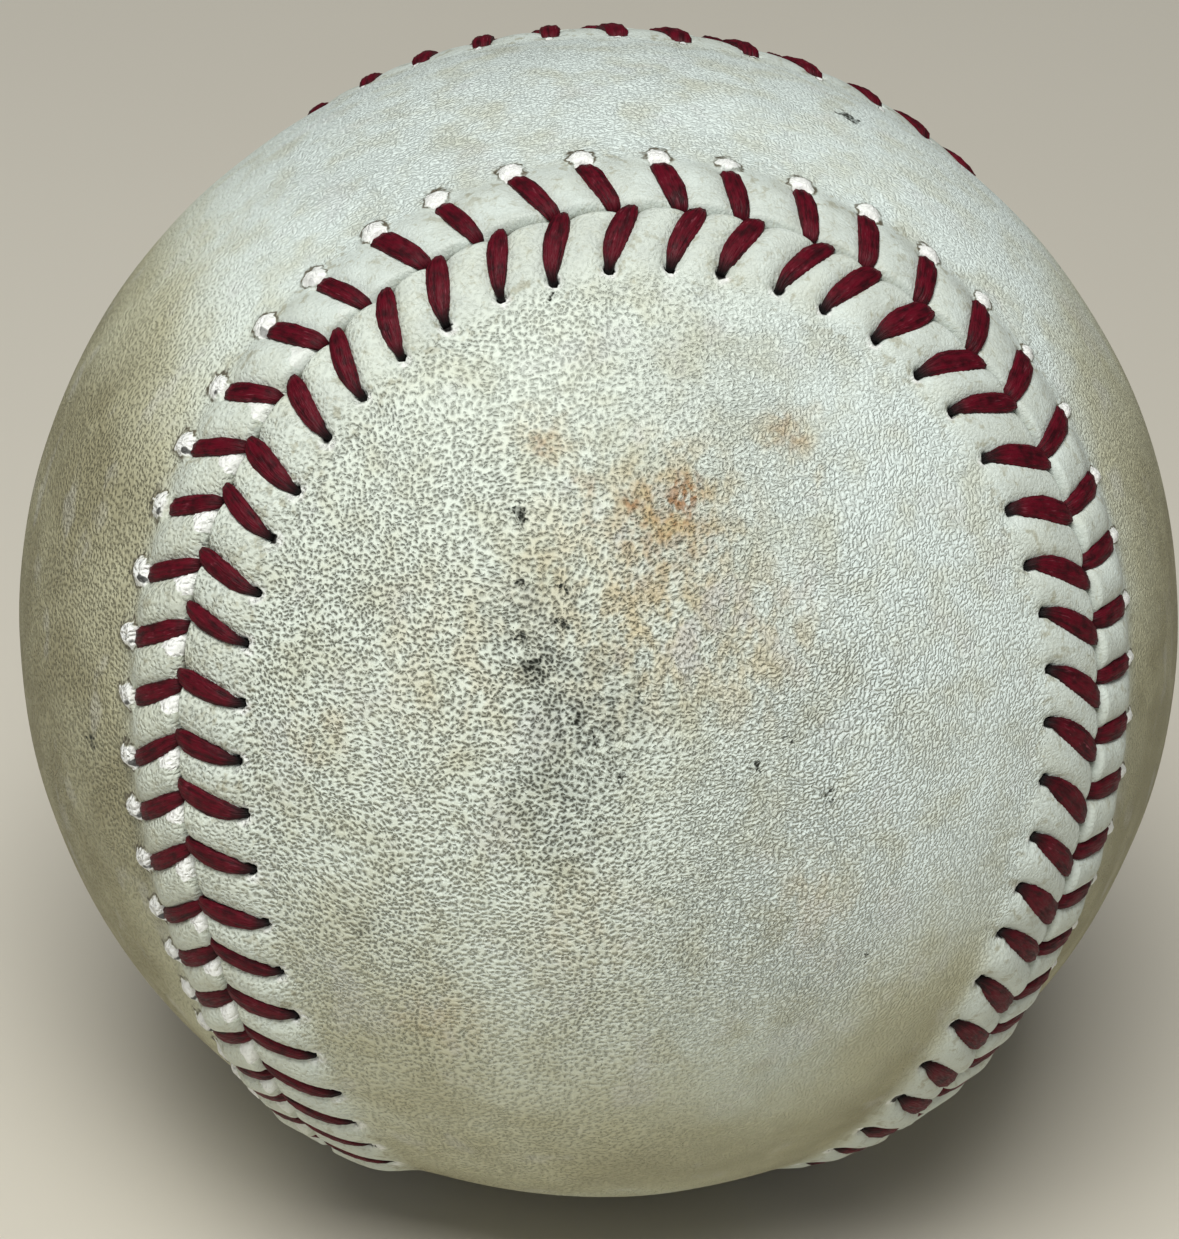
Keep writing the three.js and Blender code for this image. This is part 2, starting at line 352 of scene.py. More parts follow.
class HideRelief:
    """The leather's height beside the seam, in millimetres above the plain ball."""

    LIP_LIFT = 0.42
    PILLOW = 0.58
    THREAD_BED = 0.5
    EDGE_ROLL = 0.6
    EDGE_DROP = 0.8
    PILLOW_POWER = 1.5
    TUFT_RING = (0.4, 0.5)
    TUFT_START = (-0.15, 0.3)
    PIT_WALL = (0.45, 1.2)
    CREASE = 0.07
    CREASE_WIDTH = 0.3
    CREASE_RISE = (1.0, 2.0)
    CREASE_FALL = (2.0, 4.8)

    def __init__(self, stitching: Stitching) -> None:
        """Keeps the stitches that pull on the leather.

        Args:
            stitching: The stitches.
        """
        self.stitching = stitching
        self.sizes = stitching.sizes
        self.pitch = stitching.seam.pitch

    def lift(self, side: Side, inset: float) -> float:
        """Returns the height of the lip that the thread beneath the leather raises."""
        edge = SEWN_EDGES[side]
        return float(self.LIP_LIFT * (1 - ease(edge.lip_start, edge.lip_end, np.array(inset))))

    def height(self, side: Side, phase: np.ndarray, inset: float) -> np.ndarray:
        """Works out the leather's height on one line beside the seam.

        Args:
            side: The panel.
            phase: Stitch numbers along the line.
            inset: Millimetres from the seam.

        Returns:
            The height at each place.
        """
        edge = SEWN_EDGES[side]
        along = (phase - np.rint(phase)) * self.pitch
        slope = math.cos(math.atan2(self.sizes.stitch_lean, self.sizes.hole_inset))
        reach = self.pitch * slope / 2 - self.THREAD_BED
        swell = np.clip((np.abs(along) * slope - self.THREAD_BED) / reach, 0.0, 1.0)
        cushion = np.sqrt(1 - (1 - swell) ** 2)

        # The cushion ends past the holes, and the cut edge rolls down into the seam
        near_edge = min(inset / self.EDGE_ROLL, 1.0)
        past = min(max((inset - edge.pillow_full) / (edge.pillow_end - edge.pillow_full), 0.0), 1.0)
        window = math.sqrt(1 - (1 - near_edge) ** 2) * (1 - past * past) ** self.PILLOW_POWER
        behind = np.floor(phase).astype(int) % self.sizes.stitch_count
        plump = self.stitching.plump[side][behind]
        height = self.lift(side, inset) + self.PILLOW * plump * cushion * window
        height -= self.EDGE_DROP * (1 - near_edge) ** 2

        # Each hole has a torn tuft behind it, a pit, and a crease that the thread pulls
        stitch = np.rint(phase).astype(int) % self.sizes.stitch_count
        hole_middle = self.sizes.hole_inset + self.stitching.hole_across[side][stitch]
        outward = inset - hole_middle
        tear = self.stitching.tear[stitch]
        tuft = np.hypot(along / edge.tuft_along, (outward - edge.tuft_out) / edge.tuft_across) / tear
        height += edge.tuft_height * tear * bell(tuft, *self.TUFT_RING) * ease(*self.TUFT_START, outward)
        pit = np.hypot(along / edge.pit_along, (outward - edge.pit_out) / edge.pit_across)
        height -= edge.pit_depth * (1 - ease(*self.PIT_WALL, pit))
        pulled = ease(*self.CREASE_RISE, outward) * (1 - ease(*self.CREASE_FALL, outward))
        return height - self.CREASE * bell(along, 0.0, self.CREASE_WIDTH) * pulled


@dataclass(frozen=True)
class Mark:
    """A stain on the leather: where it is on the ball, in degrees, and its size in millimetres."""

    azimuth: float
    elevation: float
    size: float
    strength: float = 1.0
    tall: float = 1.0

    def direction(self) -> Vector:
        """Returns the mark's place as a unit vector. Azimuth 0 is the front, 90 the right."""
        turn, rise = math.radians(self.azimuth), math.radians(self.elevation)
        return Vector(
            (math.sin(turn) * math.cos(rise), -math.cos(turn) * math.cos(rise), math.sin(rise))
        )


# The leather's colours that several finishes share, and how much grain shows: all over, and at the top
RAW_HIDE = srgb(248, 250, 247)
# The soil's film colour, which also darkens the limbs and the bottom as painted shade
SOIL_AND_SHADE_FILM = srgb(148, 142, 110)
GRAIN_SHARES = {Side.LOWER: (1.0, 0.58), Side.UPPER: (0.62, 0.45)}

# Where the leather is worn and stained. The marks at the back are invented.
WORN_MIDDLE = Mark(-2.0, 31.0, 9.0)
RUST_MARKS = (
    Mark(1.9, 39.4, 1.2, 1.0, 2.8),
    Mark(-3.4, 38.6, 1.0, 0.8, 2.2),
    Mark(-0.6, 37.0, 3.4, 0.4, 1.2),
    Mark(3.4, 41.2, 0.9, 0.5),
    Mark(-14.3, 44.3, 1.2, 0.4, 1.4),
    Mark(-8.9, 39.8, 0.8, 0.4, 2.0),
    Mark(16.5, 44.9, 1.1, 0.3),
    Mark(152.0, 12.0, 3.0, 0.3),
    Mark(-100.0, -10.0, 2.4, 0.3),
)
TAN_MARKS = (
    Mark(0.9, 38.0, 5.2, 0.95),
    Mark(-0.9, 30.4, 7.2, 0.75),
    Mark(7.6, 27.4, 5.6, 0.6),
    Mark(-10.0, 34.0, 5.0, 0.45),
    Mark(-20.0, 24.0, 6.0, 0.35),
    Mark(-14.3, 44.3, 2.2, 0.6),
    Mark(-8.9, 39.8, 1.6, 0.5, 1.6),
    Mark(16.5, 44.9, 2.2, 0.6),
    Mark(18.3, 40.3, 1.0, 0.6),
    Mark(-32.3, 15.1, 2.2, 0.5),
    Mark(-19.4, -11.5, 3.2, 0.5),
    Mark(14.0, 2.6, 3.0, 0.45),
    Mark(-6.3, 0.6, 4.0, 0.35),
    Mark(150.0, 10.0, 7.0, 0.6),
    Mark(-103.0, -8.0, 6.0, 0.6),
)
SOOT_MARKS = (
    Mark(-13.5, 28.5, 3.4, 0.55),
    Mark(-11.9, 25.0, 2.2, 0.9),
    Mark(-7.4, 20.6, 4.2, 0.75),
    Mark(-9.2, 13.4, 3.8, 0.6, 1.4),
    Mark(-27.0, -2.5, 0.9, 0.5),
    Mark(165.0, 30.0, 3.0, 0.6),
    Mark(110.0, -25.0, 2.4, 0.6),
)
SPECK_MARKS = (
    Mark(-15.8, 37.7, 0.62, 1.0, 1.8),
    Mark(-15.2, 31.7, 0.5, 0.8, 1.6),
    Mark(-10.3, 28.5, 0.5, 0.9),
    Mark(-14.1, 27.0, 0.55, 0.8),
    Mark(-12.6, 24.8, 0.75),
    Mark(-8.2, 20.4, 0.6, 0.8),
    Mark(-6.6, 18.6, 0.5, 0.8),
    Mark(-10.3, 31.9, 0.42),
    Mark(-2.3, 22.5, 0.34),
    Mark(-4.1, 15.3, 0.36, 1.0, 1.6),
    Mark(11.9, 18.0, 0.36, 0.8),
    Mark(8.8, 16.0, 0.4),
    Mark(15.2, 12.5, 0.32),
    Mark(-17.4, 58.5, 0.36),
    Mark(95.8, 67.6, 0.85),
    Mark(-2.8, 7.5, 0.25, 0.8),
    Mark(20.0, -5.1, 0.28),
    Mark(-61.0, 2.9, 0.7, 0.6),
    Mark(140.0, -5.0, 0.45),
    Mark(-125.0, 20.0, 0.5),
)


class Span(NamedTuple):
    """A change that is eased: from start at low to end at high."""

    low: float
    high: float
    start: float = 0.0
    end: float = 1.0


def fall(low: float, high: float, top: float = 1.0) -> Span:
    """Returns a change from the top at low down to 0 at high."""
    return Span(low, high, top, 0.0)


class Cloud(NamedTuple):
    """Soft noise: its waves per millimetre, its finer layers, and what it is eased over."""

    scale: float
    detail: float
    span: Span


class Shake(NamedTuple):
    """Noise that moves a place: its waves per millimetre, its finer layers, and its reach."""

    scale: float
    detail: float
    reach: float


class Dash(NamedTuple):
    """Short dashes in scattered cells: cells per millimetre, and half a dash's length."""

    scale: float
    half_length: float


class NodeBench:
    """One material on the bench: makes its nodes and joins them."""

    CELL_CHANCE = 0.85
    MARK_FADE = 1.4

    def __init__(self, name: str) -> None:
        """Starts an empty material with its shader.

        Args:
            name: The material's name.
        """
        self.material = bpy.data.materials.new(name)
        self.material.use_nodes = True
        self.tree = self.material.node_tree
        self.tree.nodes.clear()
        self.output = self.tree.nodes.new("ShaderNodeOutputMaterial")
        self.shader = self.tree.nodes.new("ShaderNodeBsdfPrincipled")
        self.join(self.shader.outputs["BSDF"], self.output.inputs["Surface"])

    def join(self, feed: Feed, socket: Socket) -> None:
        """Links a socket into another, or sets a plain value on it.

        Args:
            feed: The socket or the value.
            socket: The socket that takes it.
        """
        if isinstance(feed, Socket):
            self.tree.links.new(feed, socket)
        else:
            socket.default_value = feed

    def dress(self, colour: Feed, roughness: Feed) -> None:
        """Gives the shader its colour and roughness."""
        self.join(colour, self.shader.inputs["Base Color"])
        self.join(roughness, self.shader.inputs["Roughness"])

    def bump(self, height: Feed, distance: float) -> None:
        """Gives the shader a fine relief.

        Args:
            height: The height, from 0 to 1.
            distance: What a height of 1 stands for, in metres.
        """
        node = self.tree.nodes.new("ShaderNodeBump")
        node.inputs["Strength"].default_value = 1.0
        node.inputs["Distance"].default_value = distance
        self.join(height, node.inputs["Height"])
        self.join(node.outputs["Normal"], self.shader.inputs["Normal"])

    def millimetres(self) -> Socket:
        """Returns the object's own coordinates in millimetres."""
        coordinates = self.tree.nodes.new("ShaderNodeTexCoord")
        return self.scaled(coordinates.outputs["Object"], 1 / MM)

    def strand(self) -> Socket:
        """Gives the map that runs round a thread and along it.

        Returns:
            Turns round the thread, and tens of millimetres along it.
        """
        node = self.tree.nodes.new("ShaderNodeUVMap")
        node.uv_map = STRAND_MAP
        return node.outputs["UV"]

    def attribute(self, name: str) -> Socket:
        """Reads a number that is kept on the mesh's points.

        Args:
            name: The number's name.

        Returns:
            The number.
        """
        node = self.tree.nodes.new("ShaderNodeAttribute")
        node.attribute_name = name
        return node.outputs["Fac"]

    def axis(self, vector: Feed, name: str) -> Socket:
        """Takes one part of a vector.

        Args:
            vector: The vector.
            name: The part: X, Y or Z.

        Returns:
            The part.
        """
        node = self.tree.nodes.new("ShaderNodeSeparateXYZ")
        self.join(vector, node.inputs["Vector"])
        return node.outputs[name]

    def scaled(self, vector: Feed, factor: Feed) -> Socket:
        """Makes a vector longer or shorter.

        Args:
            vector: The vector.
            factor: How many times as long it becomes.

        Returns:
            The scaled vector.
        """
        node = self.tree.nodes.new("ShaderNodeVectorMath")
        node.operation = "SCALE"
        self.join(vector, node.inputs[0])
        self.join(factor, node.inputs["Scale"])
        return node.outputs["Vector"]

    def vectors(self, operation: str, first: Feed, second: Feed = NOWHERE) -> Socket:
        """Returns a vector worked out from two others."""
        return self._vector_node(operation, first, second).outputs["Vector"]

    def measure(self, operation: str, first: Feed, second: Feed = NOWHERE) -> Socket:
        """Returns a number worked out from two vectors."""
        return self._vector_node(operation, first, second).outputs["Value"]

    def _vector_node(self, operation: str, first: Feed, second: Feed) -> bpy.types.Node:
        """Makes a node that works on two vectors.

        Args:
            operation: What it does.
            first: The first vector.
            second: The second vector.

        Returns:
            The node.
        """
        node = self.tree.nodes.new("ShaderNodeVectorMath")
        node.operation = operation
        self.join(first, node.inputs[0])
        self.join(second, node.inputs[1])
        return node

    def math(self, operation: str, first: Feed, second: Feed = 0.0) -> Socket:
        """Works out a number from two others.

        Args:
            operation: What is done with them.
            first: The first number.
            second: The second number.

        Returns:
            The result.
        """
        node = self.tree.nodes.new("ShaderNodeMath")
        node.operation = operation
        self.join(first, node.inputs[0])
        self.join(second, node.inputs[1])
        return node.outputs["Value"]

    def times(self, first: Feed, *others: Feed) -> Feed:
        """Returns the product of numbers."""
        return reduce(partial(self.math, "MULTIPLY"), others, first)

    def plus(self, first: Feed, *others: Feed) -> Feed:
        """Returns the sum of numbers."""
        return reduce(partial(self.math, "ADD"), others, first)

    def most(self, first: Feed, *others: Feed) -> Feed:
        """Returns the highest of numbers."""
        return reduce(partial(self.math, "MAXIMUM"), others, first)

    def less(self, first: Feed, second: Feed) -> Socket:
        """Returns what is left of the first number without the second."""
        return self.math("SUBTRACT", first, second)

    def between(self, share: Feed, first: Feed, second: Feed) -> Feed:
        """Returns a number between two, by a share."""
        return self.plus(first, self.times(self.less(second, first), share))

    def oval(self, first: Feed, first_half: float, second: Feed, second_half: float) -> Socket:
        """Measures how far a place is from the middle of an oval.

        Args:
            first: The place along the oval's first axis.
            first_half: Half the oval's size there.
            second: The place along its second axis.
            second_half: Half the oval's size there.

        Returns:
            The distance, which is 1 on the oval's outline.
        """
        parts = []
        for place, half in ((first, first_half), (second, second_half)):
            share = self.math("ABSOLUTE", self.math("DIVIDE", place, half))
            parts.append(self.math("POWER", share, 2.0))
        return self.math("SQRT", self.plus(*parts))

    def ramp(self, value: Feed, span: Span, easing: str = "SMOOTHSTEP") -> Socket:
        """Takes a number through a span.

        Args:
            value: The number.
            span: Where it changes, and from what to what.
            easing: How it changes.

        Returns:
            The number's place in the span.
        """
        node = self.tree.nodes.new("ShaderNodeMapRange")
        node.interpolation_type = easing
        self.join(value, node.inputs["Value"])
        for name, number in zip(("From Min", "From Max", "To Min", "To Max"), span):
            node.inputs[name].default_value = number
        return node.outputs["Result"]

    def blend(self, factor: Feed, first: Feed, second: Feed) -> Socket:
        """Mixes two colours.

        Args:
            factor: How much of the second colour there is.
            first: The first colour.
            second: The second colour.

        Returns:
            The mixed colour.
        """
        node = self.tree.nodes.new("ShaderNodeMix")
        node.data_type = "RGBA"
        self.join(factor, node.inputs[0])
        self.join(first, node.inputs[6])
        self.join(second, node.inputs[7])
        return node.outputs[2]

    def noise(self, vector: Feed, scale: float, detail: float, output: str = "Fac") -> Socket:
        """Makes soft noise.

        Args:
            vector: Where to read it.
            scale: Waves per millimetre.
            detail: How many finer layers it has.
            output: Fac for a number, Color for a vector.

        Returns:
            The noise, from 0 to 1.
        """
        node = self.tree.nodes.new("ShaderNodeTexNoise")
        self.join(vector, node.inputs["Vector"])
        node.inputs["Scale"].default_value = scale
        node.inputs["Detail"].default_value = detail
        return node.outputs[output]

    def cloud(self, vector: Feed, cloud: Cloud) -> Socket:
        """Returns soft noise that is eased over its span."""
        return self.ramp(self.noise(vector, cloud.scale, cloud.detail), cloud.span)

    def shift(self, vector: Feed, shake: Shake) -> Socket:
        """Returns how far noise moves a place."""
        return self.scaled(self.noise(vector, shake.scale, shake.detail, "Color"), shake.reach)

    def shaken(self, vector: Feed, shake: Shake) -> Socket:
        """Returns a place that noise has moved, to one side on the whole."""
        return self.vectors("ADD", vector, self.shift(vector, shake))

    def ragged(self, vector: Feed, shake: Shake) -> Socket:
        """Returns a place that noise has moved to all sides alike."""
        return self.vectors("ADD", self.shaken(vector, shake), (-shake.reach / 2,) * 3)

    def cells(self, vector: Feed, scale: float) -> tuple[Socket, Socket]:
        """Scatters cells through space.

        Args:
            vector: Where to read them.
            scale: Cells per millimetre.

        Returns:
            The middle of the nearest cell, and a chance vector that belongs to the cell.
        """
        node = self.tree.nodes.new("ShaderNodeTexVoronoi")
        self.join(vector, node.inputs["Vector"])
        node.inputs["Scale"].default_value = scale
        node.inputs["Randomness"].default_value = self.CELL_CHANCE
        return node.outputs["Position"], node.outputs["Color"]

    def flat(self, vector: Feed, out: Feed) -> Socket:
        """Returns a vector without its part along the unit vector that points out of the ball."""
        return self.vectors("SUBTRACT", vector, self.scaled(out, self.measure("DOT_PRODUCT", vector, out)))

    def dash(self, vector: Feed, out: Feed, dash: Dash, lie: Feed = NOWHERE) -> Socket:
        """Measures how far a place is from the short dash that lies in its cell, along the surface.

        Args:
            vector: Where to read it.
            out: The unit vector out of the ball.
            dash: The dashes.
            lie: The direction that the dashes tend to take.

        Returns:
            The distance from the dash.
        """
        middle, chance = self.cells(vector, dash.scale)
        lay = self.vectors("ADD", self.vectors("SUBTRACT", chance, (0.5, 0.5, 0.5)), lie)
        lay = self.vectors("NORMALIZE", self.flat(lay, out))
        offset = self.flat(self.vectors("SUBTRACT", vector, middle), out)
        along = self.most(self.measure("DOT_PRODUCT", offset, lay), -dash.half_length)
        along = self.math("MINIMUM", along, dash.half_length)
        return self.measure("LENGTH", self.vectors("SUBTRACT", offset, self.scaled(lay, along)))

    def near(self, vector: Feed, mark: Mark, radius: float) -> Socket:
        """Shows one mark.

        Args:
            vector: Where to read it, in millimetres.
            mark: The mark.
            radius: The ball's radius.

        Returns:
            The mark's cover: its strength at its middle, and 0 outside it.
        """
        squash = Vector((1.0, 1.0, 1 / mark.tall))
        squashed = self.vectors("MULTIPLY", vector, squash)
        distance = self.measure("DISTANCE", squashed, mark.direction() * radius * squash)
        return self.ramp(distance, fall(0.0, mark.size * self.MARK_FADE, mark.strength))

    def cover(self, vector: Feed, marks: tuple[Mark, ...], radius: float) -> Feed:
        """Returns how far each place is covered by marks, from 0 to 1."""
        return self.most(0.0, *(self.near(vector, mark, radius) for mark in marks))


@dataclass(frozen=True)
class HideFeeds:
    """What the leather's layers read at a place."""

    place: Socket
    out: Socket
    across: Socket
    up: Socket
    inset: Socket
    smooth: Socket


@dataclass(frozen=True)
class StitchFeeds:
    """What the needle's marks read at a place."""

    along: Socket
    outward: Socket
    tuft: Socket
    shaken: Socket
    wander: Socket


@dataclass(frozen=True)
class GrainFinish:
    """The leather's grain: short dark ticks on the left, longer and finer creases on the right."""

    side: Side
    share: float
    top_share: float
    drift: Shake = Shake(0.1, 2.0, 3.0)
    quiver: Shake = Shake(3.0, 1.0, 0.25)
    lie_left: Colour = (0.35, 0.0, 0.2, 1.0)
    lie_right: Colour = (0.42, 0.0, 0.6, 1.0)
    turned_right: Span = Span(0.0, 16.0)
    turned_low: Span = fall(-12.0, 6.0)
    closing: Shake = Shake(0.25, 3.0, 12.0)
    closed_right: Span = Span(-2.0, 23.0)
    closed_top: Span = Span(24.0, 33.0)
    tick: Dash = Dash(2.9, 0.055)
    tick_edge: Span = fall(0.0, 0.075)
    tick_fade: Span = fall(0.5, 1.0)
    tick_swell: Span = Span(0.0, 0.18)
    crease: Dash = Dash(4.2, 0.16)
    crease_edge: Span = fall(0.0, 0.065)
    crease_swell: Span = Span(0.0, 0.15)
    open_right: Span = Span(0.0, 19.0, 1.0, 0.22)
    open_low: Span = Span(-16.0, 2.0, 0.5, 1.0)
    open_top: tuple[float, float] = (10.0, 32.0)
    patches: Cloud = Cloud(0.12, 3.0, Span(0.3, 0.66, 0.62, 1.0))
    drawn_pores: Span = Span(0.0, 0.9, 1.0, 0.16)
    drawn_relief: Span = Span(0.0, 1.0, 1.0, 0.3)
    open_relief: Span = Span(0.15, 0.9, 0.35, 1.0)

    def layers(self, bench: NodeBench, at: HideFeeds) -> tuple[Socket, Feed, Feed]:
        """Makes the grain.

        Args:
            bench: The material.
            at: What the leather's layers read.

        Returns:
            The distance from a tick, the pores, and the swelling of the grain between them.
        """
        flow = bench.vectors("ADD", bench.shaken(at.place, self.drift), bench.shift(at.place, self.quiver))
        turned = bench.most(bench.ramp(at.across, self.turned_right), bench.ramp(at.up, self.turned_low))
        lie = bench.blend(turned, self.lie_left, self.lie_right)
        tick = bench.dash(flow, at.out, self.tick, lie)
        crease = bench.dash(flow, at.out, self.crease, lie)

        closed = self._closed(bench, at)
        ticks = bench.times(bench.ramp(tick, self.tick_edge), bench.ramp(closed, self.tick_fade))
        lines = bench.times(bench.ramp(crease, self.crease_edge), closed)
        top = Span(*self.open_top, 1.0, self.top_share)
        opened = bench.times(
            bench.ramp(at.across, self.open_right),
            bench.ramp(at.up, self.open_low),
            bench.ramp(at.up, top),
            self.share,
        )
        strength = bench.times(bench.cloud(at.place, self.patches), bench.ramp(at.smooth, self.drawn_pores))
        pores = bench.times(bench.most(ticks, lines), strength, opened)

        swell = bench.between(
            closed, bench.ramp(tick, self.tick_swell), bench.ramp(crease, self.crease_swell)
        )
        relief = bench.times(bench.ramp(at.smooth, self.drawn_relief), bench.ramp(opened, self.open_relief))
        return tick, pores, bench.times(swell, relief)

    def _closed(self, bench: NodeBench, at: HideFeeds) -> Feed:
        """Finds where the pores are drawn out into creases.

        Args:
            bench: The material.
            at: What the leather's layers read.

        Returns:
            A share from 0 for ticks to 1 for creases.
        """
        wavy = bench.noise(at.place, self.closing.scale, self.closing.detail)
        wavy = bench.times(wavy, self.closing.reach)
        closed = bench.ramp(bench.plus(at.across, wavy), self.closed_right)
        if self.side is Side.UPPER:
            closed = bench.most(closed, bench.ramp(at.up, self.closed_top))
        return closed


@dataclass(frozen=True)
class SoilFinish:
    """The leather's ground: clean above and to the right, darker at the sides and below with soil and
    painted shade.
    """

    side: Side
    clean: Colour = srgb(227, 236, 224)
    cool: Colour = srgb(228, 240, 236)
    tan: Colour = srgb(196, 194, 162)
    pillow: Colour = srgb(200, 208, 200)
    soil_left: Span = fall(-36.0, 6.0, 0.1)
    # Darker towards the bottom: part soil, part painted shade
    soil_and_shade_low: Span = fall(-30.0, 10.0, 0.74)
    # Painted shade: the left and right limbs are darkened in the soil's colours
    shade_at_limbs: Span = Span(22.0, 34.0)
    soil_right: Span = Span(4.0, 20.0)
    soil_right_low: Span = fall(-20.0, 8.0, 0.45)
    soil_patches: Cloud = Cloud(0.07, 4.0, Span(0.25, 0.75, 0.55, 1.25))
    drawn_soil: Span = Span(0.0, 1.0, 1.0, 0.3)
    cool_right: Span = Span(-6.0, 14.0)
    cool_top: Span = Span(22.0, 32.0)
    tan_cover: Span = Span(0.06, 0.65, 0.0, 0.85)
    film_cover: Span = Span(0.4, 1.1, 0.0, 0.85)
    mottle: Cloud = Cloud(0.35, 5.0, Span(0.4, 0.75, 0.0, 0.45))
    pillow_patches: Cloud = Cloud(0.6, 4.0, Span(0.3, 0.7, 0.55, 1.0))

    def ground(self, bench: NodeBench, at: HideFeeds) -> Socket:
        """Makes the ground.

        Args:
            bench: The material.
            at: What the leather's layers read.

        Returns:
            The ground's colour.
        """
        # Soil, with painted shade at the limbs and towards the bottom added to it
        soil = bench.plus(
            bench.ramp(at.across, self.soil_left),
            bench.ramp(at.up, self.soil_and_shade_low),
            bench.times(bench.ramp(at.across, self.soil_right), bench.ramp(at.up, self.soil_right_low)),
            bench.ramp(bench.math("ABSOLUTE", at.across), self.shade_at_limbs),
        )
        soil = bench.times(
            soil, bench.cloud(at.place, self.soil_patches), bench.ramp(at.smooth, self.drawn_soil)
        )
        cooler = bench.ramp(at.across, self.cool_right)
        if self.side is Side.UPPER:
            cooler = bench.most(cooler, bench.ramp(at.up, self.cool_top))
        ground = bench.blend(cooler, self.clean, self.cool)
        # The tan and the film colour both the soil and the painted shade
        ground = bench.blend(bench.ramp(soil, self.tan_cover), ground, self.tan)
        ground = bench.blend(bench.ramp(soil, self.film_cover), ground, SOIL_AND_SHADE_FILM)
        ground = bench.blend(bench.cloud(at.place, self.mottle), ground, self.tan)
        puffed = bench.times(at.smooth, bench.cloud(at.place, self.pillow_patches))
        return bench.blend(puffed, ground, self.pillow)


@dataclass(frozen=True)
class WearFinish:
    """What years of play left on the leather: stains, rubbed patches, soiled pores, cracks and soot."""

    pore: Colour = srgb(96, 98, 70)
    rust: Colour = srgb(164, 114, 66)
    stain: Colour = srgb(208, 190, 146)
    peel: Colour = srgb(212, 214, 213)
    crack: Colour = srgb(104, 98, 82)
    soot: Colour = srgb(46, 50, 42)
    run_down: Direction = (1.0, 1.0, 0.45)
    tan_cloud: Cloud = Cloud(0.9, 6.0, Span(0.36, 0.62, 0.1, 1.0))
    rust_cloud: Cloud = Cloud(2.4, 4.0, Span(0.38, 0.58, 0.15, 1.0))
    soot_cloud: Cloud = Cloud(1.5, 4.0, Span(0.38, 0.58, 0.25, 1.0))
    stain_edge: Shake = Shake(0.55, 5.0, 4.0)
    soot_in_pores: Span = Span(0.04, 0.16, 1.0, 0.45)
    speck_edge: Shake = Shake(1.9, 5.0, 2.2)
    speck_cover: Span = Span(0.22, 0.6)
    specks_in_pores: Span = Span(0.05, 0.2, 1.0, 0.55)
    off_the_seam: Span = fall(0.0, 0.4)
    rub_down: Direction = (1.0, 1.0, 0.7)
    rub_cloud: Cloud = Cloud(0.3, 6.0, Span(0.55, 0.68))
    rub_middle: Span = Span(0.0, 0.8, 0.25, 0.6)
    pores_rubbed: Span = Span(0.0, 1.0, 1.0, 0.38)
    pores_middle: Span = Span(0.0, 0.8, 0.6, 0.68)
    crack_bend: Shake = Shake(0.8, 3.0, 1.6)
    crack_dash: Dash = Dash(0.42, 0.6)
    crack_lie: Direction = (0.5, 0.0, 0.0)
    crack_edge: Span = fall(0.01, 0.09, 0.7)
    crack_cloud: Cloud = Cloud(0.5, 3.0, Span(0.44, 0.58))

    def worn(
        self, bench: NodeBench, at: HideFeeds, tick: Feed, pores: Feed, radius: float, ground: Feed
    ) -> Socket:
        """Adds the wear to the ground.

        Args:
            bench: The material.
            at: What the leather's layers read.
            tick: The distance from a tick.
            pores: The pores.
            radius: The ball's radius.
            ground: The colour so far.

        Returns:
            The worn colour.
        """
        drawn = bench.vectors("MULTIPLY", at.place, self.run_down)
        edge = bench.ragged(at.place, self.stain_edge)
        tan = bench.times(bench.cover(edge, TAN_MARKS, radius), bench.cloud(drawn, self.tan_cloud))
        ground = bench.blend(tan, ground, self.stain)
        rust = bench.times(bench.cover(edge, RUST_MARKS, radius), bench.cloud(drawn, self.rust_cloud))
        ground = bench.blend(rust, ground, self.rust)

        away = bench.ramp(at.smooth, self.off_the_seam)
        middle = bench.near(at.place, WORN_MIDDLE, radius)
        rubbing = bench.cloud(bench.vectors("MULTIPLY", at.place, self.rub_down), self.rub_cloud)
        peeled = bench.times(rubbing, away)
        ground = bench.blend(bench.times(peeled, bench.ramp(middle, self.rub_middle)), ground, self.peel)
        depth = bench.times(bench.ramp(peeled, self.pores_rubbed), bench.ramp(middle, self.pores_middle))
        ground = bench.blend(bench.times(pores, depth), ground, self.pore)
        bent = bench.shaken(at.place, self.crack_bend)
        cracks = bench.ramp(bench.dash(bent, at.out, self.crack_dash, self.crack_lie), self.crack_edge)
        cracks = bench.times(cracks, bench.cloud(at.place, self.crack_cloud), away, middle)
        ground = bench.blend(cracks, ground, self.crack)

        grime = bench.times(bench.cloud(drawn, self.soot_cloud), bench.ramp(tick, self.soot_in_pores))
        ground = bench.blend(bench.times(bench.cover(edge, SOOT_MARKS, radius), grime), ground, self.soot)
        specks = bench.cover(bench.ragged(at.place, self.speck_edge), SPECK_MARKS, radius)
        specks = bench.times(bench.ramp(specks, self.speck_cover), bench.ramp(tick, self.specks_in_pores))
        return bench.blend(specks, ground, self.soot)


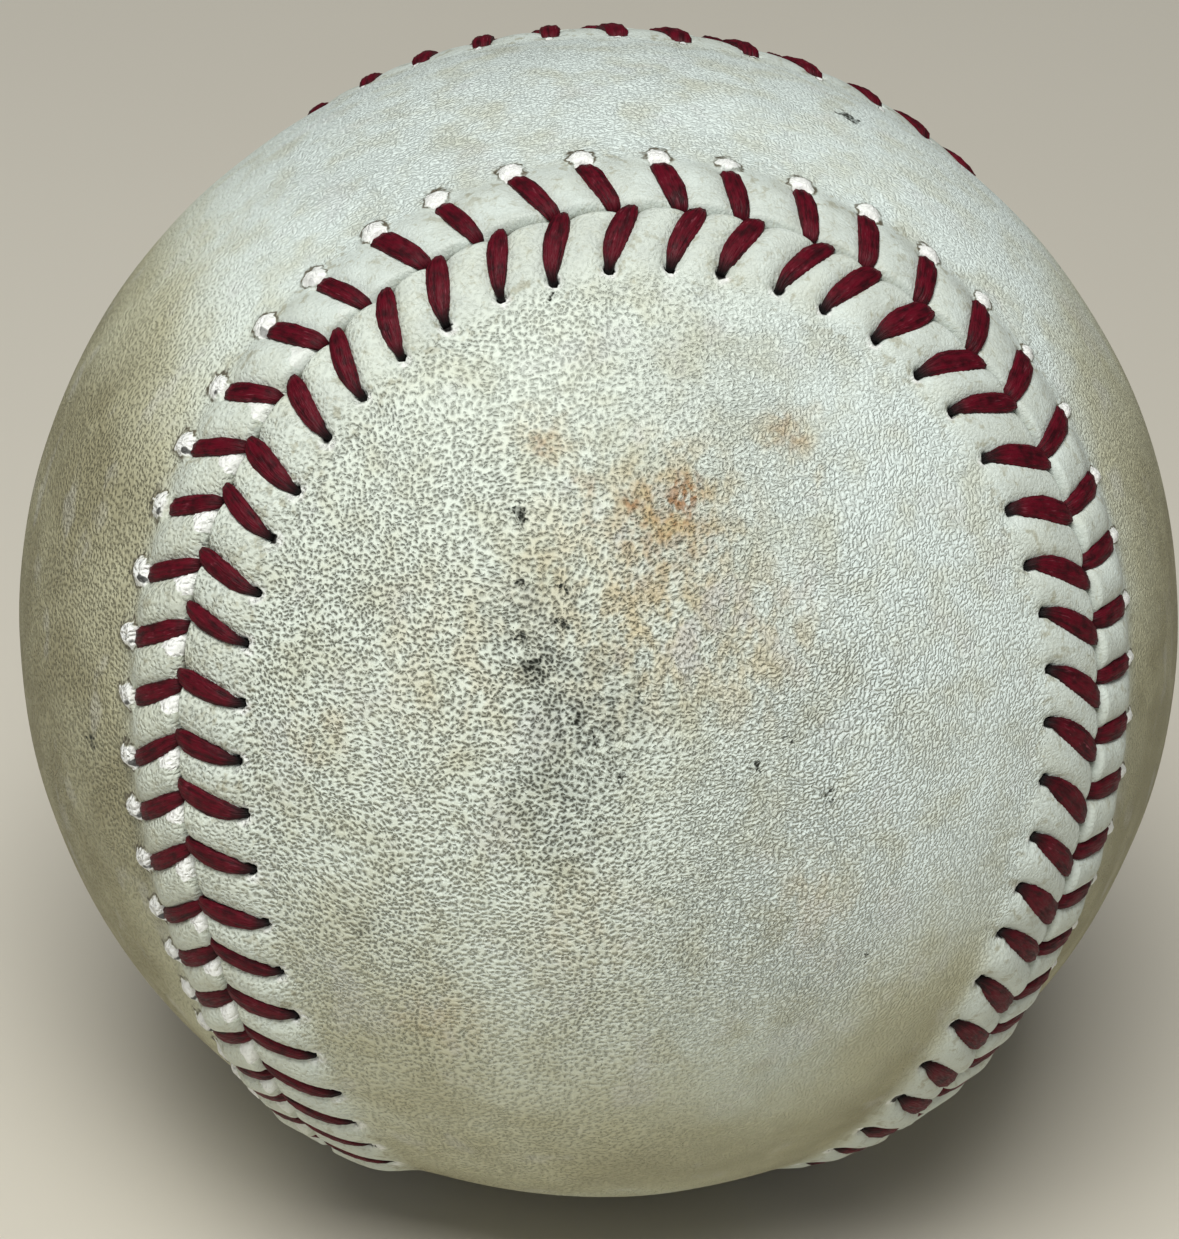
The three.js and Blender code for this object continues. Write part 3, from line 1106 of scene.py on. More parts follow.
@dataclass(frozen=True)
class SewnFinish:
    """What the needle left: creases, raw facets by the cut edge, torn white holes, and painted shade in the
    holes, along the seam and round the tufts.
    """

    side: Side
    # The colour of the painted shadow lines along the seam's cut edge and round the torn tufts
    outline: Colour = srgb(104, 98, 82)
    # Painted shade, black, inside the needle holes
    hole: Colour = srgb(15, 12, 10)
    wander: tuple[float, float] = (1.3, 2.0)
    bend: Shake = Shake(1.1, 2.0, 0.9)
    crease: Dash = Dash(1.5, 0.2)
    crease_edge: Span = fall(0.01, 0.09)
    crease_reach: Span = fall(3.6, 5.4, 0.3)
    crease_wander: Span = Span(0.35, 0.6)
    flakes: Cloud = Cloud(1.3, 6.0, Span(0.55, 0.66))
    flake_rise: Span = Span(0.5, 4.5, 0.15, 0.5)
    flake_fall: Span = fall(4.5, 7.0)
    shake: Cloud = Cloud(1.5, 2.0, Span(0.25, 0.75, -0.25, 0.25))
    least_tear: float = 0.1
    left_side: Span = fall(-26.0, -15.0)
    facet_line: Span = Span(-2.4, -0.5, 0.0, 1.6)
    facet_shake: float = 0.8
    facet_edge: Span = Span(0.0, 0.1)
    facet_end: Span = fall(0.1, 0.6)
    torn_edge: Span = fall(0.9, 1.08)
    torn_start: Span = Span(-0.25, 0.1)
    line_inner: Span = Span(0.98, 1.1)
    line_outer: Span = fall(1.16, 1.4)
    line_start: Span = Span(-0.2, 0.3)
    line_wander: Span = Span(0.3, 0.55, 0.35, 1.0)
    gap_along: tuple[float, float] = (-0.3, 0.22)
    gap_out: tuple[float, float] = (0.2, 0.3)
    gap_shake: float = 2.0
    gap_edge: Span = fall(0.6, 1.1, 0.9)
    pale_edge: Span = fall(0.8, 1.7, 0.8)
    pale_wander: Span = Span(0.35, 0.6, 0.3, 1.0)
    throat_shake: float = 1.6
    throat_edge: Span = fall(0.75, 1.15)
    cut_edge: Span = fall(0.05, 0.17, 0.9)

    def sewn(self, bench: NodeBench, at: HideFeeds, relief: HideRelief, ground: Feed) -> Socket:
        """Adds the needle's marks.

        Args:
            bench: The material.
            at: What the leather's layers read.
            relief: The sewn leather.
            ground: The colour so far.

        Returns:
            The colour with the marks.
        """
        edge = SEWN_EDGES[self.side]
        wander = bench.noise(at.place, *self.wander)
        bent = bench.shaken(at.place, self.bend)
        creases = bench.times(
            bench.ramp(bench.dash(bent, at.out, self.crease), self.crease_edge),
            bench.ramp(at.inset, self.crease_reach),
            bench.ramp(wander, self.crease_wander),
        )
        ground = bench.blend(creases, ground, SOIL_AND_SHADE_FILM)
        flakes = bench.times(
            bench.cloud(at.place, self.flakes),
            bench.ramp(at.inset, self.flake_rise),
            bench.ramp(at.inset, self.flake_fall),
        )
        ground = bench.blend(flakes, ground, SOIL_AND_SHADE_FILM)

        turn = bench.math("ARCTAN2", bench.attribute("stitch_sine"), bench.attribute("stitch_cosine"))
        along = bench.times(turn, relief.pitch / math.tau)
        outward = bench.less(at.inset, relief.sizes.hole_inset)
        shaken = bench.cloud(at.place, self.shake)
        tuft = bench.oval(along, edge.tuft_along, bench.less(outward, edge.tuft_out), edge.tuft_across)
        tuft = bench.math("DIVIDE", tuft, bench.most(bench.attribute("tear"), self.least_tear))
        stitch = StitchFeeds(along, outward, bench.plus(tuft, shaken), shaken, wander)
        if self.side is Side.UPPER:
            ground = self._torn(bench, at, stitch, ground)
        else:
            ground = self._punched(bench, edge, stitch, ground)
        # Painted shadow: a dark line along the cut edge, where the two panels meet
        return bench.blend(bench.ramp(at.inset, self.cut_edge), ground, self.outline)

    def _torn(self, bench: NodeBench, at: HideFeeds, stitch: StitchFeeds, ground: Feed) -> Socket:
        """Adds the upper panel's torn holes: white flesh with a painted shadow line round it, bare facets,
        and painted shade in the holes.

        Args:
            bench: The material.
            at: What the leather's layers read.
            stitch: What the needle's marks read.
            ground: The colour so far.

        Returns:
            The colour with the holes.
        """
        left = bench.ramp(at.across, self.left_side)
        facet = bench.less(bench.ramp(stitch.along, self.facet_line, "LINEAR"), at.inset)
        facet = bench.ramp(bench.plus(facet, bench.times(stitch.shaken, self.facet_shake)), self.facet_edge)
        facet = bench.times(facet, bench.ramp(stitch.along, self.facet_end), left)
        torn = bench.times(
            bench.ramp(stitch.tuft, self.torn_edge), bench.ramp(stitch.outward, self.torn_start)
        )
        ground = bench.blend(bench.most(facet, torn), ground, RAW_HIDE)
        # Painted shadow: a dark line round each raised tuft
        line = bench.times(
            bench.ramp(stitch.tuft, self.line_inner),
            bench.ramp(stitch.tuft, self.line_outer),
            bench.ramp(stitch.outward, self.line_start),
            bench.ramp(stitch.wander, self.line_wander),
        )
        ground = bench.blend(line, ground, self.outline)
        # Painted shade, black, in the hole beside each thread's end, on the left
        gap_along, half_along = self.gap_along
        gap_out, half_out = self.gap_out
        gap = bench.oval(
            bench.less(stitch.along, gap_along), half_along, bench.less(stitch.outward, gap_out), half_out
        )
        gap = bench.ramp(bench.plus(gap, bench.times(stitch.shaken, self.gap_shake)), self.gap_edge)
        return bench.blend(bench.times(gap, left), ground, self.hole)

    def _punched(self, bench: NodeBench, edge: SewnEdge, stitch: StitchFeeds, ground: Feed) -> Socket:
        """Adds the lower panel's holes: paler leather round them, and painted shade, black, in their
        mouths.

        Args:
            bench: The material.
            edge: How the panel takes the stitches.
            stitch: What the needle's marks read.
            ground: The colour so far.

        Returns:
            The colour with the holes.
        """
        paler = bench.times(
            bench.ramp(stitch.tuft, self.pale_edge), bench.ramp(stitch.wander, self.pale_wander)
        )
        ground = bench.blend(paler, ground, RAW_HIDE)
        # Painted shade, black, in each hole's mouth
        throat_out = bench.less(stitch.outward, edge.pit_out)
        throat = bench.oval(stitch.along, edge.pit_along, throat_out, edge.pit_across)
        throat = bench.plus(throat, bench.times(stitch.shaken, self.throat_shake))
        return bench.blend(bench.ramp(throat, self.throat_edge), ground, self.hole)


@dataclass(frozen=True)
class HideFinish:
    """Used off-white cowhide: pores full of soil, stains, and clean puffed leather by the seam."""

    grain: GrainFinish
    soil: SoilFinish
    wear: WearFinish
    sewing: SewnFinish
    drawn_edge: Span = fall(3.4, 6.4)
    handled_side: Span = Span(-26.0, -8.0, 0.6, 1.0)
    roughness: float = 0.6
    pore_roughness: float = 0.16
    drawn_polish: float = 0.06
    gloss: float = 0.35
    fine_grain: tuple[float, float] = (5.0, 3.0)
    fine_share: float = 0.3
    pore_relief: float = 0.00014

    @classmethod
    def of(cls, side: Side) -> "HideFinish":
        """Returns the finish of one panel."""
        return cls(GrainFinish(side, *GRAIN_SHARES[side]), SoilFinish(side), WearFinish(), SewnFinish(side))

    def material(self, relief: HideRelief) -> bpy.types.Material:
        """Builds the material.

        Args:
            relief: The sewn leather, for its sizes.

        Returns:
            The leather.
        """
        bench = NodeBench("used_cowhide_" + self.grain.side.name.lower())
        at = self._feeds(bench)
        tick, pores, swell = self.grain.layers(bench, at)
        colour = self.soil.ground(bench, at)
        colour = self.wear.worn(bench, at, tick, pores, relief.sizes.radius, colour)
        colour = self.sewing.sewn(bench, at, relief, colour)
        colour = bench.blend(bench.attribute("flesh"), colour, RAW_HIDE)
        rough = bench.plus(bench.times(pores, self.pore_roughness), self.roughness)
        bench.dress(colour, bench.less(rough, bench.times(at.smooth, self.drawn_polish)))
        bench.shader.inputs["Specular IOR Level"].default_value = self.gloss
        fine = bench.times(bench.noise(at.place, *self.fine_grain), self.fine_share)
        bench.bump(bench.plus(bench.less(swell, pores), fine), self.pore_relief)
        return bench.material

    def _feeds(self, bench: NodeBench) -> HideFeeds:
        """Makes what the leather's layers read.

        Args:
            bench: The material.

        Returns:
            The place in millimetres, its parts, and how far the stitches draw the leather out there.
        """
        place = bench.millimetres()
        across, up = bench.axis(place, "X"), bench.axis(place, "Z")
        inset = bench.attribute("inset")
        smooth = bench.times(bench.ramp(inset, self.drawn_edge), bench.ramp(across, self.handled_side))
        return HideFeeds(place, bench.vectors("NORMALIZE", place), across, up, inset, smooth)


@dataclass(frozen=True)
class ThreadFinish:
    """Dark red waxed thread: fibres along its length, wax sheen, pale worn fibres with painted glints, and
    painted shade, black, where it enters a hole.
    """

    deep: Colour = srgb(46, 2, 10)
    red: Colour = srgb(93, 3, 25)
    # Pale worn fibres, with painted glints of the wax
    light: Colour = srgb(150, 80, 92)
    # Painted shade, black, where the thread goes into a hole
    black: Colour = srgb(12, 7, 8)
    streak_lay: Direction = (15.0, 5.5, 1.0)
    fibre_lay: Direction = (40.0, 12.0, 1.0)
    streak_share: float = 0.6
    wax: tuple[float, float] = (1.8, 3.0)
    wax_share: float = 0.4
    red_cover: Span = Span(0.34, 0.6)
    bare: Cloud = Cloud(0.9, 2.0, Span(0.5, 0.68, 0.0, 0.7))
    bare_and_glint_fibres: Span = Span(0.56, 0.74)
    roughness: Span = Span(0.3, 0.75, 0.46, 0.68)
    gloss: float = 0.2
    fibre_relief: float = 0.00009

    def material(self) -> bpy.types.Material:
        """Builds the material.

        Returns:
            The thread.
        """
        bench = NodeBench("waxed_red_thread")
        lay, place = bench.strand(), bench.millimetres()
        streaks = bench.noise(bench.vectors("MULTIPLY", lay, self.streak_lay), 1.0, 4.0)
        fibres = bench.noise(bench.vectors("MULTIPLY", lay, self.fibre_lay), 1.0, 2.0)
        wax = bench.times(bench.noise(place, *self.wax), self.wax_share)
        mottle = bench.plus(bench.times(streaks, self.streak_share), wax)
        colour = bench.blend(bench.ramp(mottle, self.red_cover), self.deep, self.red)
        # Pale patches: worn fibres and painted glints
        worn = bench.times(bench.ramp(fibres, self.bare_and_glint_fibres), bench.cloud(place, self.bare))
        colour = bench.blend(worn, colour, self.light)
        # Painted shade, black, where the thread goes into a hole
        colour = bench.blend(bench.attribute("hole_end"), colour, self.black)
        bench.dress(colour, bench.ramp(fibres, self.roughness))
        bench.shader.inputs["Specular IOR Level"].default_value = self.gloss
        bench.bump(bench.plus(streaks, fibres), self.fibre_relief)
        return bench.material


@dataclass(frozen=True)
class CorkFinish:
    """Composition cork: pressed granules of pale and dark bark with dark gaps between them."""

    pale: Colour = srgb(198, 160, 112)
    bark: Colour = srgb(122, 84, 50)
    gap: Colour = srgb(60, 40, 26)
    granules: float = 0.62
    bend: Shake = Shake(0.9, 3.0, 0.8)
    flecks: Cloud = Cloud(3.0, 4.0, Span(0.55, 0.7, 0.0, 0.6))
    gap_edge: Span = Span(0.75, 1.15, 0.0, 0.8)
    crumb: tuple[float, float] = (4.0, 4.0)
    roughness: float = 0.88
    relief: float = 0.00012

    def material(self) -> bpy.types.Material:
        """Builds the material.

        Returns:
            The cork.
        """
        bench = NodeBench("pressed_cork")
        place = bench.millimetres()
        bent = bench.shaken(place, self.bend)
        middle, chance = bench.cells(bent, self.granules)
        apart = bench.measure("LENGTH", bench.vectors("SUBTRACT", bent, middle))
        colour = bench.blend(bench.axis(chance, "X"), self.pale, self.bark)
        colour = bench.blend(bench.cloud(place, self.flecks), colour, self.bark)
        gaps = bench.ramp(apart, self.gap_edge)
        bench.dress(bench.blend(gaps, colour, self.gap), self.roughness)
        bench.bump(bench.less(bench.noise(place, *self.crumb), gaps), self.relief)
        return bench.material


@dataclass(frozen=True)
class RubberFinish:
    """Moulded rubber: a dull skin with flow marks and a little powder."""

    name: str
    skin: Colour
    powder: Colour
    flow_lay: Direction = (0.5, 0.5, 2.0)
    flow: tuple[float, float] = (0.6, 4.0)
    dust: Cloud = Cloud(0.9, 5.0, Span(0.5, 0.72, 0.0, 0.55))
    grit: tuple[float, float] = (6.0, 2.0)
    roughness: Span = Span(0.3, 0.7, 0.5, 0.78)
    relief: float = 0.00004

    def material(self) -> bpy.types.Material:
        """Builds the material.

        Returns:
            The rubber.
        """
        bench = NodeBench(self.name)
        place = bench.millimetres()
        flow = bench.noise(bench.vectors("MULTIPLY", place, self.flow_lay), *self.flow)
        colour = bench.blend(bench.cloud(place, self.dust), self.skin, self.powder)
        bench.dress(colour, bench.ramp(flow, self.roughness))
        bench.bump(bench.plus(flow, bench.noise(place, *self.grit)), self.relief)
        return bench.material


@dataclass(frozen=True)
class YarnFinish:
    """Spun yarn: plies twisted round each other, with loose fibres."""

    name: str
    fibre: Colour
    shade: Colour
    plies: int
    lay: float = 4.0
    ply_edge: Span = Span(-1.0, 0.6)
    fluff: tuple[float, float] = (4.5, 5.0)
    fluff_tone: Span = Span(0.3, 0.65, 0.55, 1.0)
    roughness: float = 0.92
    sheen: float = 0.3
    relief: float = 0.0001

    def material(self) -> bpy.types.Material:
        """Builds the material.

        Returns:
            The yarn.
        """
        bench = NodeBench(self.name)
        strand = bench.strand()
        around = bench.axis(strand, "X")
        length = bench.times(bench.axis(strand, "Y"), STRAND_STEP)
        turn = bench.times(bench.less(around, bench.math("DIVIDE", length, self.lay)), math.tau)
        ply = bench.ramp(bench.math("COSINE", bench.times(turn, float(self.plies))), self.ply_edge)
        fluff = bench.noise(bench.millimetres(), *self.fluff)
        tone = bench.times(ply, bench.ramp(fluff, self.fluff_tone))
        bench.dress(bench.blend(tone, self.shade, self.fibre), self.roughness)
        bench.shader.inputs["Sheen Weight"].default_value = self.sheen
        bench.bump(bench.plus(ply, fluff), self.relief)
        return bench.material


class Piece:
    """Puts a finished mesh into the scene and ties it to the frame."""

    @staticmethod
    def place(
        name: str, shaper: Shaper, material: bpy.types.Material, node: str, slot: str
    ) -> bpy.types.Object:
        """Turns a bmesh into a piece.

        Args:
            name: The piece's name.
            shaper: The finished bmesh, in metres. It is freed.
            material: The finish.
            node: The solid that the piece stands for.
            slot: The record's material slot. It is not used.

        Returns:
            The piece.
        """
        mesh = bpy.data.meshes.new(name)
        for face in shaper.faces:
            face.smooth = True
        shaper.to_mesh(mesh)
        shaper.free()
        mesh.materials.append(material)
        piece = bpy.data.objects.new(name, mesh)
        bpy.context.scene.collection.objects.link(piece)
        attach(piece, BODY)
        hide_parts(node)
        log.info("%s: %d faces for %s", name, len(mesh.polygons), node)
        return piece


def arc(radius: float, start: float, end: float, steps: int) -> list[tuple[float, float]]:
    """Returns an arc round the ball's centre: distances from the upright axis, and heights."""
    latitudes = np.linspace(start, end, steps + 1)
    return [(radius * math.cos(a), radius * math.sin(a)) for a in latitudes]


def spin_profile(shaper: Shaper, profile: list[tuple[float, float]], steps: int) -> None:
    """Turns a profile about the upright axis into a closed wall.

    Args:
        shaper: The bmesh that it is added to.
        profile: Distances from the axis and heights. It ends on the axis or where it started.
        steps: Faces round the axis.
    """
    before = set(shaper.verts)
    chain = [shaper.verts.new((x * MM, 0.0, z * MM)) for x, z in profile]
    edges = [shaper.edges.new(pair) for pair in zip(chain, chain[1:])]
    bmesh.ops.spin(
        shaper,
        geom=chain + edges,
        cent=(0.0, 0.0, 0.0),
        axis=(0.0, 0.0, 1.0),
        angle=math.tau,
        steps=steps,
        use_merge=True,
    )
    made = [vert for vert in shaper.verts if vert not in before]
    bmesh.ops.remove_doubles(shaper, verts=made, dist=MERGE_DISTANCE * MM)


def roll_tube(
    shaper: Shaper,
    rings: np.ndarray,
    travel: np.ndarray,
    marks: dict[str, np.ndarray],
) -> None:
    """Rolls a grid into a closed tube, with a strand map that runs round it and along it.

    Args:
        shaper: The empty bmesh, with its layers.
        rings: The tube's sections, as points in millimetres.
        travel: The length up to each section.
        marks: Values for each section, by the name of the layer that keeps them.
    """
    steps, around = rings.shape[:2]
    strand = shaper.loops.layers.uv[STRAND_MAP]
    layers = {shaper.verts.layers.float[name]: values for name, values in marks.items()}
    grid = bmesh.ops.create_grid(shaper, x_segments=around, y_segments=steps - 1, size=1.0)
    verts = grid["verts"]
    wide = around + 1
    for i, vert in enumerate(verts):
        row, column = divmod(i, wide)
        vert.co = rings[row, column % around] * MM
        for layer, values in layers.items():
            vert[layer] = values[row]
    shaper.verts.index_update()
    for face in shaper.faces:
        for loop in face.loops:
            row, column = divmod(loop.vert.index, wide)
            loop[strand].uv = (column / around, travel[row] / STRAND_STEP)
    rows = [verts[i * wide:(i + 1) * wide] for i in range(steps)]
    bmesh.ops.weld_verts(shaper, targetmap={row[-1]: row[0] for row in rows})
    for row in (rows[0], rows[-1]):
        bmesh.ops.contextual_create(shaper, geom=row[:-1])


def lengths_along(points: np.ndarray) -> np.ndarray:
    """Returns the length of a path up to each of its points."""
    return np.concatenate([[0.0], np.cumsum(np.linalg.norm(np.diff(points, axis=0), axis=1))])


BLACK_RUBBER = RubberFinish("black_rubber_skin", srgb(30, 29, 28), srgb(76, 74, 70))
RED_RUBBER = RubberFinish("red_rubber_skin", srgb(150, 44, 38), srgb(180, 96, 86))


@dataclass
class Pill:
    """The middle of the ball: a cork core in two black and two red rubber half-shells."""

    core_radius: float = 10.3
    black_hollow: float = 10.6
    black_radius: float = 14.3
    black_rim: float = 0.8
    washer_thickness: float = 1.0
    red_hollow: float = 14.6
    red_radius: float = 16.7
    red_rim: float = 0.15
    granule: float = 1.7
    granule_groove: float = 0.2
    groove_edge: float = 0.22
    cork_subdivisions: int = 6
    sharp_angle: float = math.pi / 4
    rim_bevel: float = 0.2
    bevel_segments: int = 3
    round_steps: int = 72
    arc_steps: int = 18

    def build(self) -> None:
        """Builds the pill from its middle outwards."""
        self._cork(CorkFinish().material())
        black, red = BLACK_RUBBER.material(), RED_RUBBER.material()
        for half in Half:
            self._half_shell(half, "black", (self.black_hollow, self.black_radius, self.black_rim), black)
        self._washer(red)
        for half in Half:
            self._half_shell(half, "red", (self.red_hollow, self.red_radius, self.red_rim), red)

    def _cork(self, material: bpy.types.Material) -> None:
        """Builds the cork ball with grooves between its granules.

        Args:
            material: The cork.
        """
        shaper = bmesh.new()
        bmesh.ops.create_icosphere(shaper, subdivisions=self.cork_subdivisions, radius=1.0)
        for vert in shaper.verts:
            nearest, second = noise.voronoi(vert.co * (self.core_radius / self.granule))[0][:2]
            between = float(1 - ease(0.0, self.groove_edge, np.array(second - nearest)))
            vert.co *= (self.core_radius - self.granule_groove * between) * MM
        Piece.place("pressed_cork_ball", shaper, material, "cork_core", "cork")

    def _half_shell(
        self, half: Half, rubber: str, sizes: tuple[float, float, float], material: bpy.types.Material
    ) -> None:
        """Builds one rubber half-shell with softened rim edges.

        Args:
            half: Which half.
            rubber: The rubber's colour, as the solids name it.
            sizes: The hollow's radius, the outer radius, and the rim's height.
            material: The rubber.
        """
        hollow, radius, rim = sizes
        pole = math.pi / 2
        chain = arc(radius, pole, math.asin(rim / radius), self.arc_steps)
        chain += arc(hollow, math.asin(rim / hollow), pole, self.arc_steps)
        shaper = bmesh.new()
        spin_profile(shaper, [(x, half.value * z) for x, z in chain], self.round_steps)
        end = half.name.lower()
        self._finish(shaper, f"{rubber}_half_shell_{end}", material, f"{rubber}_rubber_shell_{end}", rubber)

    def _washer(self, material: bpy.types.Material) -> None:
        """Builds the ring between the rims of the black half-shells.

        Args:
            material: The rubber.
        """
        high = self.washer_thickness / 2
        inner, outer = self.black_hollow, self.black_radius
        shaper = bmesh.new()
        corners = [(inner, -high), (outer, -high), (outer, high), (inner, high), (inner, -high)]
        spin_profile(shaper, corners, self.round_steps)
        self._finish(shaper, "red_rim_ring", material, "red_rubber_washer", "red")

    def _finish(
        self, shaper: Shaper, name: str, material: bpy.types.Material, node: str, rubber: str
    ) -> None:
        """Softens a rubber piece's sharp edges and places it.

        Args:
            shaper: The piece's bmesh.
            name: The piece's name.
            material: The rubber.
            node: The solid that it stands for.
            rubber: The rubber's colour.
        """
        bmesh.ops.recalc_face_normals(shaper, faces=shaper.faces)
        sharp = [edge for edge in shaper.edges if edge.calc_face_angle(0.0) > self.sharp_angle]
        bmesh.ops.bevel(
            shaper,
            geom=sharp,
            offset=self.rim_bevel * MM,
            affect="EDGES",
            segments=self.bevel_segments,
            profile=0.5,
            material=-1,
        )
        Piece.place(name, shaper, material, node, f"{rubber}_rubber")


@dataclass
class YarnWinding:
    """One wound layer: packed yarn, with its last turns lying over it."""

    node: str
    name: str
    slot: str
    finish: YarnFinish
    hollow: float
    radius: float
    yarn: float
    turns: int
    eye_radius: float = 1.2
    packed_depth: float = 0.8
    first_depth: float = 0.95
    depth_rise: float = 0.4
    steps_per_turn: int = 32
    sides: int = 5
    plane_step: float = 0.35
    first_tilt: float = 0.2
    round_steps: int = 64
    arc_steps: int = 24

    def build(self) -> bpy.types.Object:
        """Builds the layer, dresses it and places it.

        Returns:
            The layer.
        """
        out, middles = self._route()
        shaper = bmesh.new()
        shaper.loops.layers.uv.new(STRAND_MAP)
        roll_tube(shaper, self._rings(out, middles), lengths_along(middles), {})
        packed = self.radius - self.packed_depth * self.yarn
        pole = math.pi / 2
        chain = arc(packed, -pole, math.acos(self.eye_radius / packed), self.arc_steps)
        chain += arc(self.hollow, math.acos(self.eye_radius / self.hollow), -pole, self.arc_steps)
        spin_profile(shaper, chain, self.round_steps)
        bmesh.ops.recalc_face_normals(shaper, faces=shaper.faces)
        return Piece.place(self.name, shaper, self.finish.material(), self.node, self.slot)

    def _route(self) -> tuple[np.ndarray, np.ndarray]:
        """Winds the yarn in great circles whose plane turns a little with every round.

        Returns:
            Unit vectors out of the ball, and the yarn's middle points.
        """
        round_angle = np.linspace(0.0, math.tau * self.turns, self.turns * self.steps_per_turn + 1)
        part = round_angle / round_angle[-1]
        spin = round_angle / math.tau * self.plane_step
        tilt = self.first_tilt + (math.pi / 2 - self.first_tilt) * part
        first = np.stack([np.cos(tilt) * np.cos(spin), np.cos(tilt) * np.sin(spin), -np.sin(tilt)], axis=1)
        second = np.stack([-np.sin(spin), np.cos(spin), np.zeros_like(spin)], axis=1)
        out = first * np.cos(round_angle)[:, None] + second * np.sin(round_angle)[:, None]
        depth = self.yarn * (self.first_depth - self.depth_rise * part)
        return out, out * (self.radius - depth)[:, None]

    def _rings(self, out: np.ndarray, middles: np.ndarray) -> np.ndarray:
        """Sets a round section at every middle point.

        Args:
            out: Unit vectors out of the ball.
            middles: The yarn's middle points.

        Returns:
            The sections' points.
        """
        heading = np.gradient(middles, axis=0)
        heading /= np.linalg.norm(heading, axis=1, keepdims=True)
        aside = np.cross(out, heading)
        turn = np.linspace(0.0, math.tau, self.sides, endpoint=False)
        across = np.cos(turn)[None, :, None] * aside[:, None] + np.sin(turn)[None, :, None] * out[:, None]
        return middles[:, None] + across * self.yarn / 2


